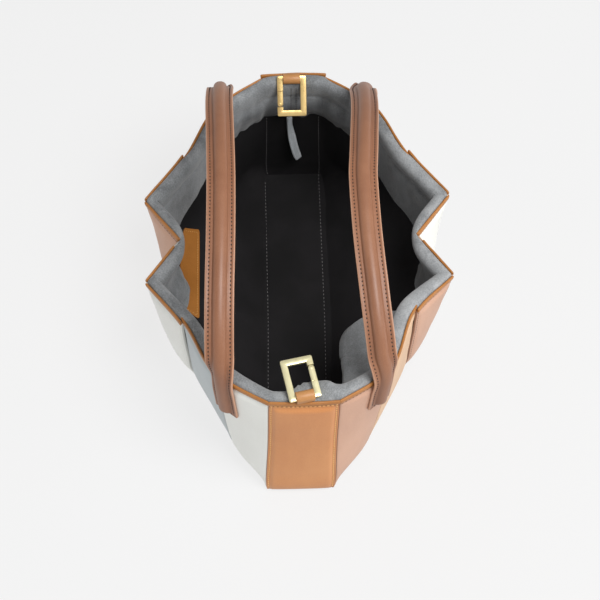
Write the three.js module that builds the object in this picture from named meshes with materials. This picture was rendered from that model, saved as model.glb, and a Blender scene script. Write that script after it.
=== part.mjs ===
// A panelled leather tote bag that stands open on its base. Millimetres, +Z up.
// X is the long axis, from the far end (-X) to the near end (+X). The base rests on Z = 0.
// Stiff padded strips stand side by side round the bag, on a suede facing and a dark lining.
import * as THREE from 'three';

// Driving dimensions of the leather body
const STRIP_THICKNESS = 2.6;
const STRIP_CROWN = 1.0;
const CROWN_FULL_LEVEL = 0.3;
const STRIP_GAP = 0.3;
const STRIP_FOOT = 0.2;
const STEP_LIFT = 2.6;
const NORMAL_STEP = 0.04;
const EDGE_SHARE = 0.001;
const BINDING_HEIGHT = 4.0;
const BINDING_LIP = 0.5;
const BINDING_CHAMFER = 1.2;
const PIECE_GAP = 0.3;
const BASE_SIZE = { length: 378, width: 59.6, thickness: 2.6, corner: 3 };

// Driving dimensions of the soft inside
const FACING_THICKNESS = 1.4;
const LINING_THICKNESS = 1.2;
const FACING_GAP = 0.5;
const LINING_GAP = 0.9;
const PATCH = {
  along: [-78, -56, -34, -12, 0, 12, 36], levels: [0.28, 0.34, 0.385], thickness: 1.6, standOff: 1.1,
};
const PULL_STRAP = { width: 7, thickness: 2.4 };

// Driving dimensions of the handles
const HANDLE = {
  rise: 92, halfWidth: 13.3, flange: 2.6, core: 8.2, leave: 170, archSteps: 22, twistSpan: 0.3,
};

// Each handle's side, its place on the corner strips, the height of its sewn ends, how square its arch is at
// the near and far shoulder, and its place across Y in even steps along the arch.
const HANDLES = [
  {
    name: 'handle_right', side: 1, share: 0.77, end: 122, squareness: [1.85, 1.5],
    across: [73, 70, 65, 60.5, 59.5, 63, 67, 68, 69],
  },
  {
    name: 'handle_left', side: -1, share: 0.79, end: 112, squareness: [1.85, 1.75],
    across: [75.5, 75.2, 73.8, 71.7, 71, 72, 73.5, 73.5, 74],
  },
];

// Driving dimensions of the metal rings and their leather tabs
const RING = { width: 29.6, length: 41, bar: 6, depth: 3.6, corner: 1.6, softness: 0.5 };
const GATE = {
  from: 12.4, to: 28.2, clearance: 0.45, pivotInset: 2.8, sideInset: 0.15, faceInset: 0.2, sides: 6,
};
const TAB = { width: 17, thickness: 1.9, holeX: 3.5, holeZ: 3.5, foot: 2.2, arcSteps: 10 };

// Height of each rib's top end. A rib is a line from the base to the rim between two strips.
const RIM = { corner: 167, seam: 163.5, step: 161, tip: 154.5, apex: 156 };

// The outline of one quarter of the bag, a row for each level. Level is a share of the rib's rim height
// and each rib's column holds its [along X, across Y] there. The two swell columns hold how far the
// middle of a corner strip and of a tip strip bulge outwards.
const SECTIONS = [
  {
    level: 0.00, corner: [193, 33.5], seam: [127, 33], step: [63, 33], tip: [3, 33], apex: [0, 33],
    cornerSwell: 1, tipSwell: 0,
  },
  {
    level: 0.07, corner: [193.5, 34], seam: [146, 50], step: [72, 50], tip: [5, 51], apex: [0, 51],
    cornerSwell: 5, tipSwell: 0,
  },
  {
    level: 0.16, corner: [193, 34], seam: [154.5, 64.5], step: [84, 72], tip: [8, 76], apex: [0, 76],
    cornerSwell: 6.5, tipSwell: 1,
  },
  {
    level: 0.27, corner: [192.5, 33.5], seam: [156, 69], step: [92.5, 93], tip: [12, 101], apex: [0, 100.5],
    cornerSwell: 4, tipSwell: 4,
  },
  {
    level: 0.40, corner: [192, 33], seam: [156, 72], step: [95.5, 103.5], tip: [21, 123.5], apex: [0, 122],
    cornerSwell: 2, tipSwell: 7,
  },
  {
    level: 0.60, corner: [191, 32.5], seam: [156, 75.5], step: [96.5, 107], tip: [34, 137], apex: [0, 130],
    cornerSwell: 1, tipSwell: 6,
  },
  {
    level: 0.80, corner: [190.5, 32.5], seam: [155.5, 79], step: [97, 109], tip: [44, 143], apex: [0, 124],
    cornerSwell: 0, tipSwell: 2.5,
  },
  {
    level: 1.00, corner: [190, 32.5], seam: [154, 81.5], step: [97, 110], tip: [48, 148], apex: [0, 115],
    cornerSwell: 0, tipSwell: 0,
  },
];
const LEVELS = SECTIONS.map((section) => section.level);
const RIM_END = SECTIONS[SECTIONS.length - 1].corner[0];

// The two near corner strips and the near right tip strip bulge only this share of the common swell.
const FLAT_STRIPS = { strips: [0, 2, 16], share: 0.3 };

// How far the foot of the near end stands to the left of its rim.
const NEAR_SWAY = 3.5;

// How far the near right step rib leans at the rim, away from the common outline.
const STEP_LEAN = { along: -8, across: -3 };

// The suede facing at each rib, from the near end's +Y corner round: depth of its soft rim roll, level of
// its lower edge, and how far its slack hangs inwards between the two.
const FACING_FOLDS = [
  { rib: 'near right corner', roll: 12, edge: 0.62, slack: 8 },
  { rib: 'near right seam', roll: 9, edge: 0.58, slack: 52 },
  { rib: 'near right step', roll: 13, edge: 0.50, slack: 36 },
  { rib: 'near right tip', roll: 7, edge: 0.41, slack: 6 },
  { rib: 'right apex', roll: 6, edge: 0.40, slack: 1 },
  { rib: 'far right tip', roll: 7, edge: 0.43, slack: 1 },
  { rib: 'far right step', roll: 7, edge: 0.47, slack: 2 },
  { rib: 'far right seam', roll: 7, edge: 0.54, slack: 2 },
  { rib: 'far right corner', roll: 6, edge: 0.66, slack: 3 },
  { rib: 'far left corner', roll: 6, edge: 0.66, slack: 3 },
  { rib: 'far left seam', roll: 6, edge: 0.63, slack: 3 },
  { rib: 'far left step', roll: 6, edge: 0.58, slack: 2 },
  { rib: 'far left tip', roll: 6, edge: 0.48, slack: 2 },
  { rib: 'left apex', roll: 5, edge: 0.40, slack: 1 },
  { rib: 'near left tip', roll: 7, edge: 0.41, slack: 3 },
  { rib: 'near left step', roll: 8, edge: 0.50, slack: 4 },
  { rib: 'near left seam', roll: 12, edge: 0.58, slack: 14 },
  { rib: 'near left corner', roll: 10, edge: 0.62, slack: 5 },
];

// Section of the facing from its lower edge up to the rim: height as a share of the way up, share of the
// roll on its inner face, and share of the slack.
const FACING_SECTION = [
  { up: 0, roll: 0, slack: 0 },
  { up: 0.22, roll: 0, slack: 0.6 },
  { up: 0.45, roll: 0.1, slack: 1 },
  { up: 0.62, roll: 0.4, slack: 0.85 },
  { up: 0.74, roll: 0.9, slack: 0.35 },
  { up: 0.84, roll: 1, slack: 0.05 },
  { up: 0.915, roll: 0.5, slack: 0 },
];
const FACING_CREST = { up: 0.94, roll: 0, slack: 0 };

// Half of the handle's section: distance from the middle, and height of the top face over the back.
const HANDLE_SECTION = [
  { out: 1, height: HANDLE.flange },
  { out: 0.53, height: HANDLE.flange },
  { out: 0.42, height: 0.72 * HANDLE.core },
  { out: 0, height: HANDLE.core },
];

// The hanging line of the pull strap inside the far end: place across Y, level, and inset from the strips.
const PULL_LINE = [
  { across: -7, level: 0.66, inset: 5.7 },
  { across: -6, level: 0.58, inset: 5.6 },
  { across: -3, level: 0.46, inset: 6.4 },
  { across: 1, level: 0.34, inset: 8.4 },
  { across: 4, level: 0.24, inset: 9.6 },
];

const LEATHER = {
  tan: 0xb9783f, lightTan: 0xcf9a66, brown: 0x9a6b52, white: 0xd2d0c8, grey: 0xbfc6c8, binding: 0xb27a3c,
};

// Strips round each long side, from the near end to the far end
const SIDES = [
  {
    side: 'right', sign: 1,
    near: { corner: 'brown', middle: 'lightTan', tip: 'brown', pleat: 'lightTan' },
    far: { corner: 'white', middle: 'grey', tip: 'white', pleat: 'white' },
  },
  {
    side: 'left', sign: -1,
    near: { corner: 'white', middle: 'grey', tip: 'white', pleat: 'white' },
    far: { corner: 'brown', middle: 'lightTan', tip: 'brown', pleat: 'brown' },
  },
];

const bag = new THREE.Group();

function leather(color) {
  return new THREE.MeshStandardMaterial({ color, roughness: 0.55, metalness: 0 });
}

function suede(color) {
  return new THREE.MeshStandardMaterial({ color, roughness: 0.95, metalness: 0 });
}

function gold() {
  return new THREE.MeshStandardMaterial({ color: 0xd9b565, roughness: 0.25, metalness: 1 });
}

// Rises from nothing at a strip's edges to one at its middle.
function hump(share) {
  return 4 * share * (1 - share);
}

function addMesh(name, geometry, material, parent = bag) {
  const mesh = new THREE.Mesh(geometry, material);
  mesh.name = name;
  parent.add(mesh);
  return mesh;
}

// Closed body from points and triangles, with its faces turned outwards.
function solid(points, triangles) {
  let volume = 0;
  for (const [a, b, c] of triangles) {
    volume += points[a].dot(new THREE.Vector3().crossVectors(points[b], points[c]));
  }
  const faces = volume < 0 ? triangles.map(([a, b, c]) => [a, c, b]) : triangles;
  const geometry = new THREE.BufferGeometry().setFromPoints(points);
  geometry.setIndex(faces.flat());
  geometry.computeVertexNormals();
  return geometry;
}

// Two triangles of a four-sided face, split along its shorter diagonal.
function splitQuad(points, [a, b, c, d]) {
  const shorter = points[a].distanceTo(points[c]) <= points[b].distanceTo(points[d]);
  return shorter ? [[a, b, c], [a, c, d]] : [[a, b, d], [b, c, d]];
}

// Body through equal rings of points. A ring runs up one face and back down the other, so an end
// is closed by a ladder between the two. With closed set, the last ring joins the first.
function loft(rings, closed = false) {
  const size = rings[0].length;
  const points = rings.flat();
  const triangles = [];
  const quad = (...corners) => triangles.push(...splitQuad(points, corners));
  const spans = closed ? rings.length : rings.length - 1;
  for (let i = 0; i < spans; i += 1) {
    const here = i * size;
    const next = ((i + 1) % rings.length) * size;
    for (let j = 0; j < size; j += 1) {
      const k = (j + 1) % size;
      quad(here + j, next + j, next + k, here + k);
    }
  }
  if (!closed) {
    const last = (rings.length - 1) * size;
    for (let j = 0; j < size / 2 - 1; j += 1) {
      const far = size - 1 - j;
      quad(j, j + 1, far - 1, far);
      quad(last + far, last + far - 1, last + j + 1, last + j);
    }
  }
  return solid(points, triangles);
}

// Ribs counter-clockwise from the near end's +Y corner. The apex of a pleat is shared by two quarters.
const RIBS = [
  ...['corner', 'seam', 'step', 'tip', 'apex'].map((kind) => ({ kind, x: 1, y: 1 })),
  ...['tip', 'step', 'seam', 'corner'].map((kind) => ({ kind, x: -1, y: 1 })),
  ...['corner', 'seam', 'step', 'tip', 'apex'].map((kind) => ({ kind, x: -1, y: -1 })),
  ...['tip', 'step', 'seam', 'corner'].map((kind) => ({ kind, x: 1, y: -1 })),
];
const STRIP_COUNT = RIBS.length;
RIBS[2].lean = STEP_LEAN;

// The two rows of the section table around a level, and the share of the way from one to the other.
function sectionSpan(level) {
  const last = SECTIONS.length - 2;
  const found = SECTIONS.findIndex((section) => section.level > level) - 1;
  const row = found < 0 ? last : found;
  const [low, high] = [SECTIONS[row], SECTIONS[row + 1]];
  return { low, high, share: (level - low.level) / (high.level - low.level) };
}

// How far the base stands to the left at a place along X.
function nearSway(along) {
  return NEAR_SWAY * Math.max(along, 0) / SECTIONS[0].corner[0];
}

// Point on a rib at a level, on the outer face of the strips.
function ribPoint(rib, level) {
  const { low, high, share } = sectionSpan(level);
  const along = THREE.MathUtils.lerp(low[rib.kind][0], high[rib.kind][0], share);
  const across = THREE.MathUtils.lerp(low[rib.kind][1], high[rib.kind][1], share);
  const height = THREE.MathUtils.lerp(STRIP_FOOT, RIM[rib.kind], level);
  const sway = nearSway(rib.x * along) * (1 - level);
  const point = new THREE.Vector3(rib.x * along, rib.y * across - sway, height);
  if (rib.lean) point.add(new THREE.Vector3(rib.lean.along, rib.lean.across, 0).multiplyScalar(level));
  return point;
}

function stripRibs(strip) {
  return [RIBS[strip], RIBS[(strip + 1) % STRIP_COUNT]];
}

// How far a strip's middle bulges outwards at a level.
function stripSwell(strip, level) {
  const kinds = stripRibs(strip).map((rib) => rib.kind);
  const { low, high, share } = sectionSpan(level);
  const column = kinds.includes('seam') ? 'cornerSwell' : 'tipSwell';
  const swells = kinds.includes('seam') ? kinds.includes('corner') : kinds.includes('step');
  if (!swells) return 0;
  const bulge = FLAT_STRIPS.strips.includes(strip) ? FLAT_STRIPS.share : 1;
  return bulge * THREE.MathUtils.lerp(low[column], high[column], share);
}

// Point on the outer face of a strip, between its two ribs and bulging level with the floor.
function facePoint(strip, share, level) {
  const [first, second] = stripRibs(strip).map((rib) => ribPoint(rib, level));
  const outwards = new THREE.Vector3(second.y - first.y, first.x - second.x, 0).normalize();
  const swell = stripSwell(strip, level) * hump(share);
  return first.lerp(second, share).addScaledVector(outwards, swell);
}

// Outward normal of a strip at a share of its width.
function stripNormal(strip, share, level) {
  const up = facePoint(strip, share, Math.min(level + NORMAL_STEP, 1));
  up.sub(facePoint(strip, share, Math.max(level - NORMAL_STEP, 0)));
  const across = facePoint(strip, Math.min(share + NORMAL_STEP, 1), level);
  across.sub(facePoint(strip, Math.max(share - NORMAL_STEP, 0), level));
  return across.cross(up).normalize();
}

// Outward direction at a rib that keeps both strips beside it equally thick.
function ribMitre(strip, level) {
  const before = stripNormal((strip + STRIP_COUNT - 1) % STRIP_COUNT, 1, level);
  const after = stripNormal(strip, 0, level);
  return before.clone().add(after).divideScalar(1 + before.dot(after));
}

// Point of the wall at a share of a strip's width, moved outwards by an offset.
function wallPoint(strip, share, level, offset) {
  const point = facePoint(strip, share, level);
  let direction = stripNormal(strip, share, level);
  if (share === 0) direction = ribMitre(strip, level);
  if (share === 1) direction = ribMitre((strip + 1) % STRIP_COUNT, level);
  return point.addScaledVector(direction, offset);
}

// The same point, drawn in from the strip's two edges so that neighbours keep a gap.
function stripPoint(strip, share, level, offset) {
  const [first, second] = stripRibs(strip);
  const inwards = ribPoint(second, level).sub(ribPoint(first, level)).normalize();
  const move = (0.5 - share) * STRIP_GAP;
  return wallPoint(strip, share, level, offset).addScaledVector(inwards, move);
}

// A tip strip stands proud of the middle strip beside it, most at the rim.
function stepLift(strip, share, level) {
  const [first, second] = stripRibs(strip);
  if (first.kind === 'step' && second.kind === 'tip') return STEP_LIFT * level * (1 - share);
  if (first.kind === 'tip' && second.kind === 'step') return STEP_LIFT * level * share;
  return 0;
}

function stripTopLevel(strip) {
  const [first, second] = stripRibs(strip);
  const lowest = Math.min(RIM[first.kind], RIM[second.kind]);
  return 1 - (BINDING_HEIGHT + PIECE_GAP) / lowest;
}

const STRIP_SHARES = [0, 0.25, 0.5, 0.75, 1];

function stripGeometry(strip) {
  const levels = [...LEVELS.slice(0, -1), stripTopLevel(strip)];
  const rings = STRIP_SHARES.map((share) => {
    const crown = STRIP_CROWN * hump(share);
    const face = (offset, swell) => levels.map((level) => {
      const padding = swell * THREE.MathUtils.smoothstep(level, 0, CROWN_FULL_LEVEL);
      return stripPoint(strip, share, level, offset + padding + stepLift(strip, share, level));
    });
    return [...face(0, crown), ...face(-STRIP_THICKNESS, 0).reverse()];
  });
  return loft(rings);
}

// The turned edge on top of a strip.
function bindingGeometry(strip) {
  const foot = 1 - BINDING_HEIGHT / RIM.corner;
  const shoulder = 1 - BINDING_CHAMFER / RIM.corner;
  const section = [
    { offset: BINDING_LIP, level: foot },
    { offset: BINDING_LIP, level: shoulder },
    { offset: BINDING_LIP - BINDING_CHAMFER, level: 1 },
    { offset: BINDING_CHAMFER - STRIP_THICKNESS, level: 1 },
    { offset: -STRIP_THICKNESS, level: shoulder },
    { offset: -STRIP_THICKNESS, level: foot },
  ];
  const rings = STRIP_SHARES.map((share) => section.map(
    ({ offset, level }) => stripPoint(strip, share, level, offset + stepLift(strip, share, level)),
  ));
  return loft(rings);
}

function addStrip(name, strip, color) {
  addMesh(`strip_${name}`, stripGeometry(strip), leather(LEATHER[color]));
  addMesh(`binding_${name}`, bindingGeometry(strip), leather(LEATHER.binding));
}

// Strips are numbered from the near end's +Y corner, so the right side runs from near to far
// and the left side from far to near.
const HALF_ORDER = ['corner', 'middle', 'tip', 'pleat'];

function addStrips() {
  const half = STRIP_COUNT / 2;
  for (const { side, sign, near, far } of SIDES) {
    HALF_ORDER.forEach((piece, index) => {
      const start = sign > 0 ? index : half + index;
      const end = sign > 0 ? half - 2 - index : STRIP_COUNT - 2 - index;
      const [nearStrip, farStrip] = sign > 0 ? [start, end] : [end, start];
      addStrip(`${side}_near_${piece}`, nearStrip, near[piece]);
      addStrip(`${side}_far_${piece}`, farStrip, far[piece]);
    });
  }
  addStrip('end_far', half - 1, 'tan');
  addStrip('end_near', STRIP_COUNT - 1, 'tan');
}

// Columns round the whole wall, at each rib and across each strip.
function wallColumns() {
  const columns = [];
  for (let strip = 0; strip < STRIP_COUNT; strip += 1) {
    STRIP_SHARES.slice(0, -1).forEach((share) => columns.push({ strip, share }));
  }
  return columns;
}

// Roll, edge level and slack of the facing at a column of the wall.
function facingFold({ strip, share }) {
  const [first, second] = [FACING_FOLDS[strip], FACING_FOLDS[(strip + 1) % STRIP_COUNT]];
  const mix = (key) => THREE.MathUtils.lerp(first[key], second[key], share);
  return { roll: mix('roll'), edge: mix('edge'), slack: mix('slack') };
}

function addFacing() {
  const outside = STRIP_THICKNESS + FACING_GAP;
  const rings = wallColumns().map((column) => {
    const { strip, share } = column;
    const fold = facingFold(column);
    const at = (row, inset) => {
      const level = THREE.MathUtils.lerp(fold.edge, 1, row.up);
      const point = wallPoint(strip, share, level, -inset);
      const inwards = wallPoint(strip, share, level, -1).sub(wallPoint(strip, share, level, 0)).setZ(0);
      return point.addScaledVector(inwards, fold.slack * row.slack);
    };
    const back = FACING_SECTION.map((row) => at(row, outside));
    const face = [...FACING_SECTION, FACING_CREST].map(
      (row) => at(row, outside + FACING_THICKNESS + fold.roll * row.roll),
    );
    return [...back, ...face.reverse()];
  });
  addMesh('suede_facing', loft(rings, true), suede(0x7d7c80));
}

// The dark lining: a wall below the facing and a flat floor on the base panel.
function addLining() {
  const outside = -(STRIP_THICKNESS + LINING_GAP);
  const inside = outside - LINING_THICKNESS;
  const floor = BASE_SIZE.thickness + PIECE_GAP;
  const columns = wallColumns();
  const lowestEdge = Math.min(...FACING_FOLDS.map((fold) => fold.edge));
  const fixedRows = LEVELS.filter((level) => level < lowestEdge).length;
  const rowCount = fixedRows + 2;
  const levelAt = (row, column) => {
    const top = facingFold(column).edge - 2 * PIECE_GAP / RIM.corner;
    if (row < fixedRows) return LEVELS[row];
    if (row === rowCount - 1) return top;
    return Math.min(LEVELS[fixedRows], (LEVELS[fixedRows - 1] + top) / 2);
  };
  const layer = (offset, lowest) => Array.from({ length: rowCount }, (_, row) => columns.map((column) => {
    const point = wallPoint(column.strip, column.share, levelAt(row, column), offset);
    point.z = Math.max(point.z, lowest);
    return point;
  }));
  const rows = [...layer(outside, floor), ...layer(inside, floor + LINING_THICKNESS).reverse()];
  const points = rows.flat();
  const count = columns.length;
  const triangles = [];
  for (let row = 0; row < rows.length - 1; row += 1) {
    for (let i = 0; i < count; i += 1) {
      const j = (i + 1) % count;
      const [a, b] = [row * count + i, row * count + j];
      triangles.push(...splitQuad(points, [a, b, b + count, a + count]));
    }
  }
  const cap = (start, flip) => {
    const outline = points.slice(start, start + count).map((p) => new THREE.Vector2(p.x, p.y));
    for (const [a, b, c] of THREE.ShapeUtils.triangulateShape(outline, [])) {
      triangles.push(flip ? [start + a, start + c, start + b] : [start + a, start + b, start + c]);
    }
  };
  cap(0, true);
  cap((rows.length - 1) * count, false);
  addMesh('black_lining', solid(points, triangles), suede(0x1d1b1c));
}

function addBase() {
  const { length, width, thickness, corner } = BASE_SIZE;
  const [x, y] = [length / 2, width / 2];
  const corners = [
    [corner - x, -y], [0, -y], [x - corner, -y], [x, corner - y], [x, y - corner], [x - corner, y], [0, y],
    [corner - x, y], [-x, y - corner], [-x, corner - y],
  ];
  const outline = new THREE.Shape(corners.map(([along, across]) => (
    new THREE.Vector2(along, across - nearSway(along))
  )));
  const geometry = new THREE.ExtrudeGeometry(outline, { depth: thickness, bevelEnabled: false });
  addMesh('base_panel', geometry, leather(LEATHER.tan));
}

// Wall point of the left side at a place along X: the strip that spans it is found at that level.
function leftWallPoint(along, level, offset) {
  for (let strip = STRIP_COUNT / 2; strip < STRIP_COUNT - 1; strip += 1) {
    const [first, second] = stripRibs(strip);
    const [from, to] = [ribPoint(first, level).x, ribPoint(second, level).x];
    if (along >= from && along <= to) {
      const share = THREE.MathUtils.clamp((along - from) / (to - from), EDGE_SHARE, 1 - EDGE_SHARE);
      return wallPoint(strip, share, level, offset);
    }
  }
  throw new Error(`no left strip at ${along}`);
}

function addPatch() {
  const back = -(STRIP_THICKNESS + LINING_GAP + LINING_THICKNESS + PATCH.standOff);
  const rings = PATCH.along.map((along) => {
    const face = (offset) => PATCH.levels.map((level) => leftWallPoint(along, level, offset));
    return [...face(back), ...face(back - PATCH.thickness).reverse()];
  });
  addMesh('inner_patch', loft(rings), leather(0x9a6329));
}

function addPullStrap() {
  const far = STRIP_COUNT / 2 - 1;
  const { width, thickness } = PULL_STRAP;
  const rings = PULL_LINE.map(({ across, level, inset }) => {
    const wall = wallPoint(far, 0.5, level, -inset);
    const at = (side, depth) => new THREE.Vector3(wall.x + depth, across + side, wall.z);
    return [
      at(-width / 2, 0), at(width / 2, 0), at(width / 2, thickness), at(-width / 2, thickness),
    ];
  });
  addMesh('pull_strap', loft(rings), suede(0x858b8f));
}

// A value between the even steps of a table, at a share of its length.
function tableAt(table, share) {
  const place = THREE.MathUtils.clamp(share, 0, 1) * (table.length - 1);
  const index = Math.min(Math.floor(place), table.length - 2);
  return THREE.MathUtils.lerp(table[index], table[index + 1], place - index);
}

// Stations of one handle from its near end, over the arch, to its far end. Each has the middle of the
// strap's back and the direction out of its face.
function handleStations({ side, share: place, end, squareness, across }) {
  const sewnOn = (strip, share) => [end, (end + HANDLE.leave) / 2, HANDLE.leave].map((height) => {
    const level = (height - STRIP_FOOT) / (RIM.seam - STRIP_FOOT);
    const face = stripNormal(strip, share, level);
    const back = wallPoint(strip, share, level, STRIP_CROWN + PIECE_GAP);
    return { back, face };
  });
  const half = STRIP_COUNT / 2;
  const near = side > 0 ? sewnOn(0, place) : sewnOn(STRIP_COUNT - 2, 1 - place);
  const far = side > 0 ? sewnOn(half - 2, 1 - place) : sewnOn(half, place);
  const arch = [];
  for (let i = 1; i < HANDLE.archSteps; i += 1) {
    const way = i / HANDLE.archSteps;
    const angle = way * Math.PI;
    const power = 2 / (way < 0.5 ? squareness[0] : squareness[1]);
    const run = Math.sign(Math.cos(angle)) * Math.abs(Math.cos(angle)) ** power;
    const rise = Math.sin(angle) ** power;
    const blend = THREE.MathUtils.smoothstep(rise, 0, HANDLE.twistSpan);
    const height = HANDLE.leave + (RIM.seam + HANDLE.rise - HANDLE.leave) * rise;
    const leave = run < 0 ? far[far.length - 1] : near[near.length - 1];
    const y = THREE.MathUtils.lerp(leave.back.y, side * tableAt(across, way), blend);
    const face = new THREE.Vector3(Math.cos(angle), 0, Math.sin(angle));
    face.lerp(leave.face, 1 - blend).normalize();
    arch.push({ back: new THREE.Vector3(Math.abs(leave.back.x) * run, y, height), face });
  }
  return [...near, ...arch, ...far.reverse()];
}

function addHandle(handle) {
  const stations = handleStations(handle);
  const rings = stations.map(({ back, face }, index) => {
    const before = stations[Math.max(index - 1, 0)].back;
    const after = stations[Math.min(index + 1, stations.length - 1)].back;
    const run = after.clone().sub(before).normalize();
    const across = run.clone().cross(face).normalize();
    const out = across.clone().cross(run).normalize();
    const at = (sideways, height) => back.clone()
      .addScaledVector(across, sideways * HANDLE.halfWidth)
      .addScaledVector(out, height);
    const right = HANDLE_SECTION.map(({ out: share, height }) => ({ share, height }));
    const left = right.slice(0, -1).map(({ share, height }) => ({ share: -share, height }));
    const profile = [...left, ...right.reverse()];
    const top = profile.map(({ share, height }) => at(share, height));
    const bottom = profile.map(({ share }) => at(share, 0)).reverse();
    return [...top, ...bottom];
  });
  addMesh(handle.name, loft(rings), leather(LEATHER.brown));
}

// Outline of the ring's bar, from one lip of the gate's gap round to the other. The gap is in the arm
// at +X of the ring's own frame, whose lower bar lies on its X axis.
function ringPath() {
  const x = (RING.width - RING.bar) / 2;
  const top = RING.length - RING.bar;
  const cut = RING.corner;
  return [
    [x, GATE.to + GATE.clearance],
    [x, top - cut], [x - cut, top], [cut - x, top], [-x, top - cut],
    [-x, cut], [cut - x, 0], [x - cut, 0], [x, cut],
    [x, GATE.from - GATE.clearance],
  ].map(([px, py]) => new THREE.Vector2(px, py));
}

// Rounded bar section, up one face and down the other.
function barSection(width, depth) {
  const [w, d] = [width / 2, depth / 2];
  const soft = RING.softness;
  return [
    [-w, soft * d], [-soft * w, d], [soft * w, d], [w, soft * d],
    [w, -soft * d], [soft * w, -d], [-soft * w, -d], [-w, -soft * d],
  ];
}

function ringGeometry() {
  const path = ringPath();
  const section = barSection(RING.bar, RING.depth);
  const rings = path.map((point, index) => {
    const before = path[Math.max(index - 1, 0)];
    const after = path[Math.min(index + 1, path.length - 1)];
    const arrive = point.clone().sub(before).normalize();
    const leave = after.clone().sub(point).normalize();
    const run = arrive.clone().add(leave).normalize();
    const mitre = 1 / Math.max(run.dot(arrive), run.dot(leave));
    return section.map(([side, up]) => new THREE.Vector3(
      point.x + run.y * side * mitre,
      point.y - run.x * side * mitre,
      up,
    ));
  });
  return loft(rings);
}

// The sprung arm: a flat bar with a round end about its pivot.
function gateGeometry() {
  const half = RING.bar / 2 - GATE.sideInset;
  const pivot = GATE.to - GATE.pivotInset;
  const outline = new THREE.Shape();
  outline.moveTo(half, GATE.from);
  for (let i = 0; i <= GATE.sides; i += 1) {
    const angle = (i / GATE.sides) * Math.PI;
    outline.lineTo(half * Math.cos(angle), pivot + half * Math.sin(angle));
  }
  outline.lineTo(-half, GATE.from);
  outline.closePath();
  const depth = RING.depth - 2 * GATE.faceInset;
  const geometry = new THREE.ExtrudeGeometry(outline, { depth, bevelEnabled: false });
  return geometry.translate((RING.width - RING.bar) / 2, 0, -depth / 2);
}

// A leather loop that stands on the rim and holds the lower bar of a ring.
function tabGeometry() {
  const { holeX, holeZ, thickness, foot, width, arcSteps } = TAB;
  const low = holeZ + foot;
  const outline = new THREE.Shape();
  outline.moveTo(holeX, -low);
  outline.lineTo(holeX + thickness, 0);
  for (let i = 1; i <= arcSteps; i += 1) {
    const angle = (i / arcSteps) * Math.PI;
    outline.lineTo((holeX + thickness) * Math.cos(angle), (holeZ + thickness) * Math.sin(angle));
  }
  outline.lineTo(-holeX, -low);
  outline.closePath();
  const hole = new THREE.Path();
  for (let i = 0; i < arcSteps; i += 1) {
    const angle = -(i / arcSteps) * 2 * Math.PI;
    const place = [holeX * Math.cos(angle), holeZ * Math.sin(angle)];
    if (i === 0) hole.moveTo(...place);
    else hole.lineTo(...place);
  }
  hole.closePath();
  outline.holes.push(hole);
  const geometry = new THREE.ExtrudeGeometry(outline, { depth: width, bevelEnabled: false });
  return geometry.translate(0, 0, -width / 2).rotateX(Math.PI / 2);
}

// Where each ring sits: end of the bag, place across Y, turn and inward lean of the tab on the rim, and
// the slope of the ring from its lower bar, inwards over the opening. Angles are in degrees.
const RING_PLACES = [
  { end: 'near', sign: 1, across: 1, turn: 12, lean: 8, slope: 7 },
  { end: 'far', sign: -1, across: -2, turn: 0, lean: 45, slope: -46 },
];

function addRing({ end, sign, across, turn, lean, slope }) {
  const foot = new THREE.Group();
  const middle = STRIP_THICKNESS / 2;
  foot.position.set(sign * (RIM_END - middle), across, RIM.corner + PIECE_GAP);
  foot.rotation.z = THREE.MathUtils.degToRad(turn);
  bag.add(foot);
  const rise = TAB.holeZ + TAB.foot;
  const tip = THREE.MathUtils.degToRad(lean);
  const seat = new THREE.Group();
  seat.position.set(-sign * rise * Math.sin(tip), 0, rise * Math.cos(tip));
  foot.add(seat);
  const tab = addMesh(`ring_tab_${end}`, tabGeometry(), leather(LEATHER.binding), seat);
  tab.rotation.y = -sign * tip;

  const tilt = new THREE.Group();
  tilt.rotation.order = 'ZYX';
  tilt.rotation.z = sign * Math.PI / 2;
  tilt.rotation.x = THREE.MathUtils.degToRad(slope);
  seat.add(tilt);
  addMesh(`ring_${end}`, ringGeometry(), gold(), tilt);
  addMesh(`ring_gate_${end}`, gateGeometry(), gold(), tilt);
}

addBase();
addStrips();
addFacing();
addLining();
addPatch();
addPullStrap();
HANDLES.forEach(addHandle);
RING_PLACES.forEach(addRing);

export default bag;
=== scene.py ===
"""A panelled leather tote bag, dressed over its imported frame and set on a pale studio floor."""

import logging
import math
from dataclasses import dataclass, field
from enum import Enum
from typing import Any, Callable, Sequence

import bmesh
import bpy
import numpy as np
from mathutils import Matrix, Vector, noise


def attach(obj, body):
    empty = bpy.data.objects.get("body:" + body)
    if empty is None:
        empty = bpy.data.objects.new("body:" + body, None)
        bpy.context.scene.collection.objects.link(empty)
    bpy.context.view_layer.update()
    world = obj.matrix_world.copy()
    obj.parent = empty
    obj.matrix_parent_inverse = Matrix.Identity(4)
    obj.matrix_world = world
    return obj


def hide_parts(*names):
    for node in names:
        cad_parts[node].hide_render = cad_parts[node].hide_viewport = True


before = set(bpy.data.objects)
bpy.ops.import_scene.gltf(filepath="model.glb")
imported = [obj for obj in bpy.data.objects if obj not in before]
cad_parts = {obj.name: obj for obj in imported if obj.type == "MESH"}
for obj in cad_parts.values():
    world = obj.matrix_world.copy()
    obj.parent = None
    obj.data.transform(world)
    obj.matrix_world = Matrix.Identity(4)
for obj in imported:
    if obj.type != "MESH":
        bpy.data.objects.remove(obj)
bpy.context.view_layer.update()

LOG = logging.getLogger("tote")
MM = 0.001
TINY = 1e-9
Array = np.ndarray
Arrays = tuple[Array, Array]
Pair = tuple[float, float]
Triple = tuple[float, float, float]
Colour = Triple
Table = tuple[Pair, ...]


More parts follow.
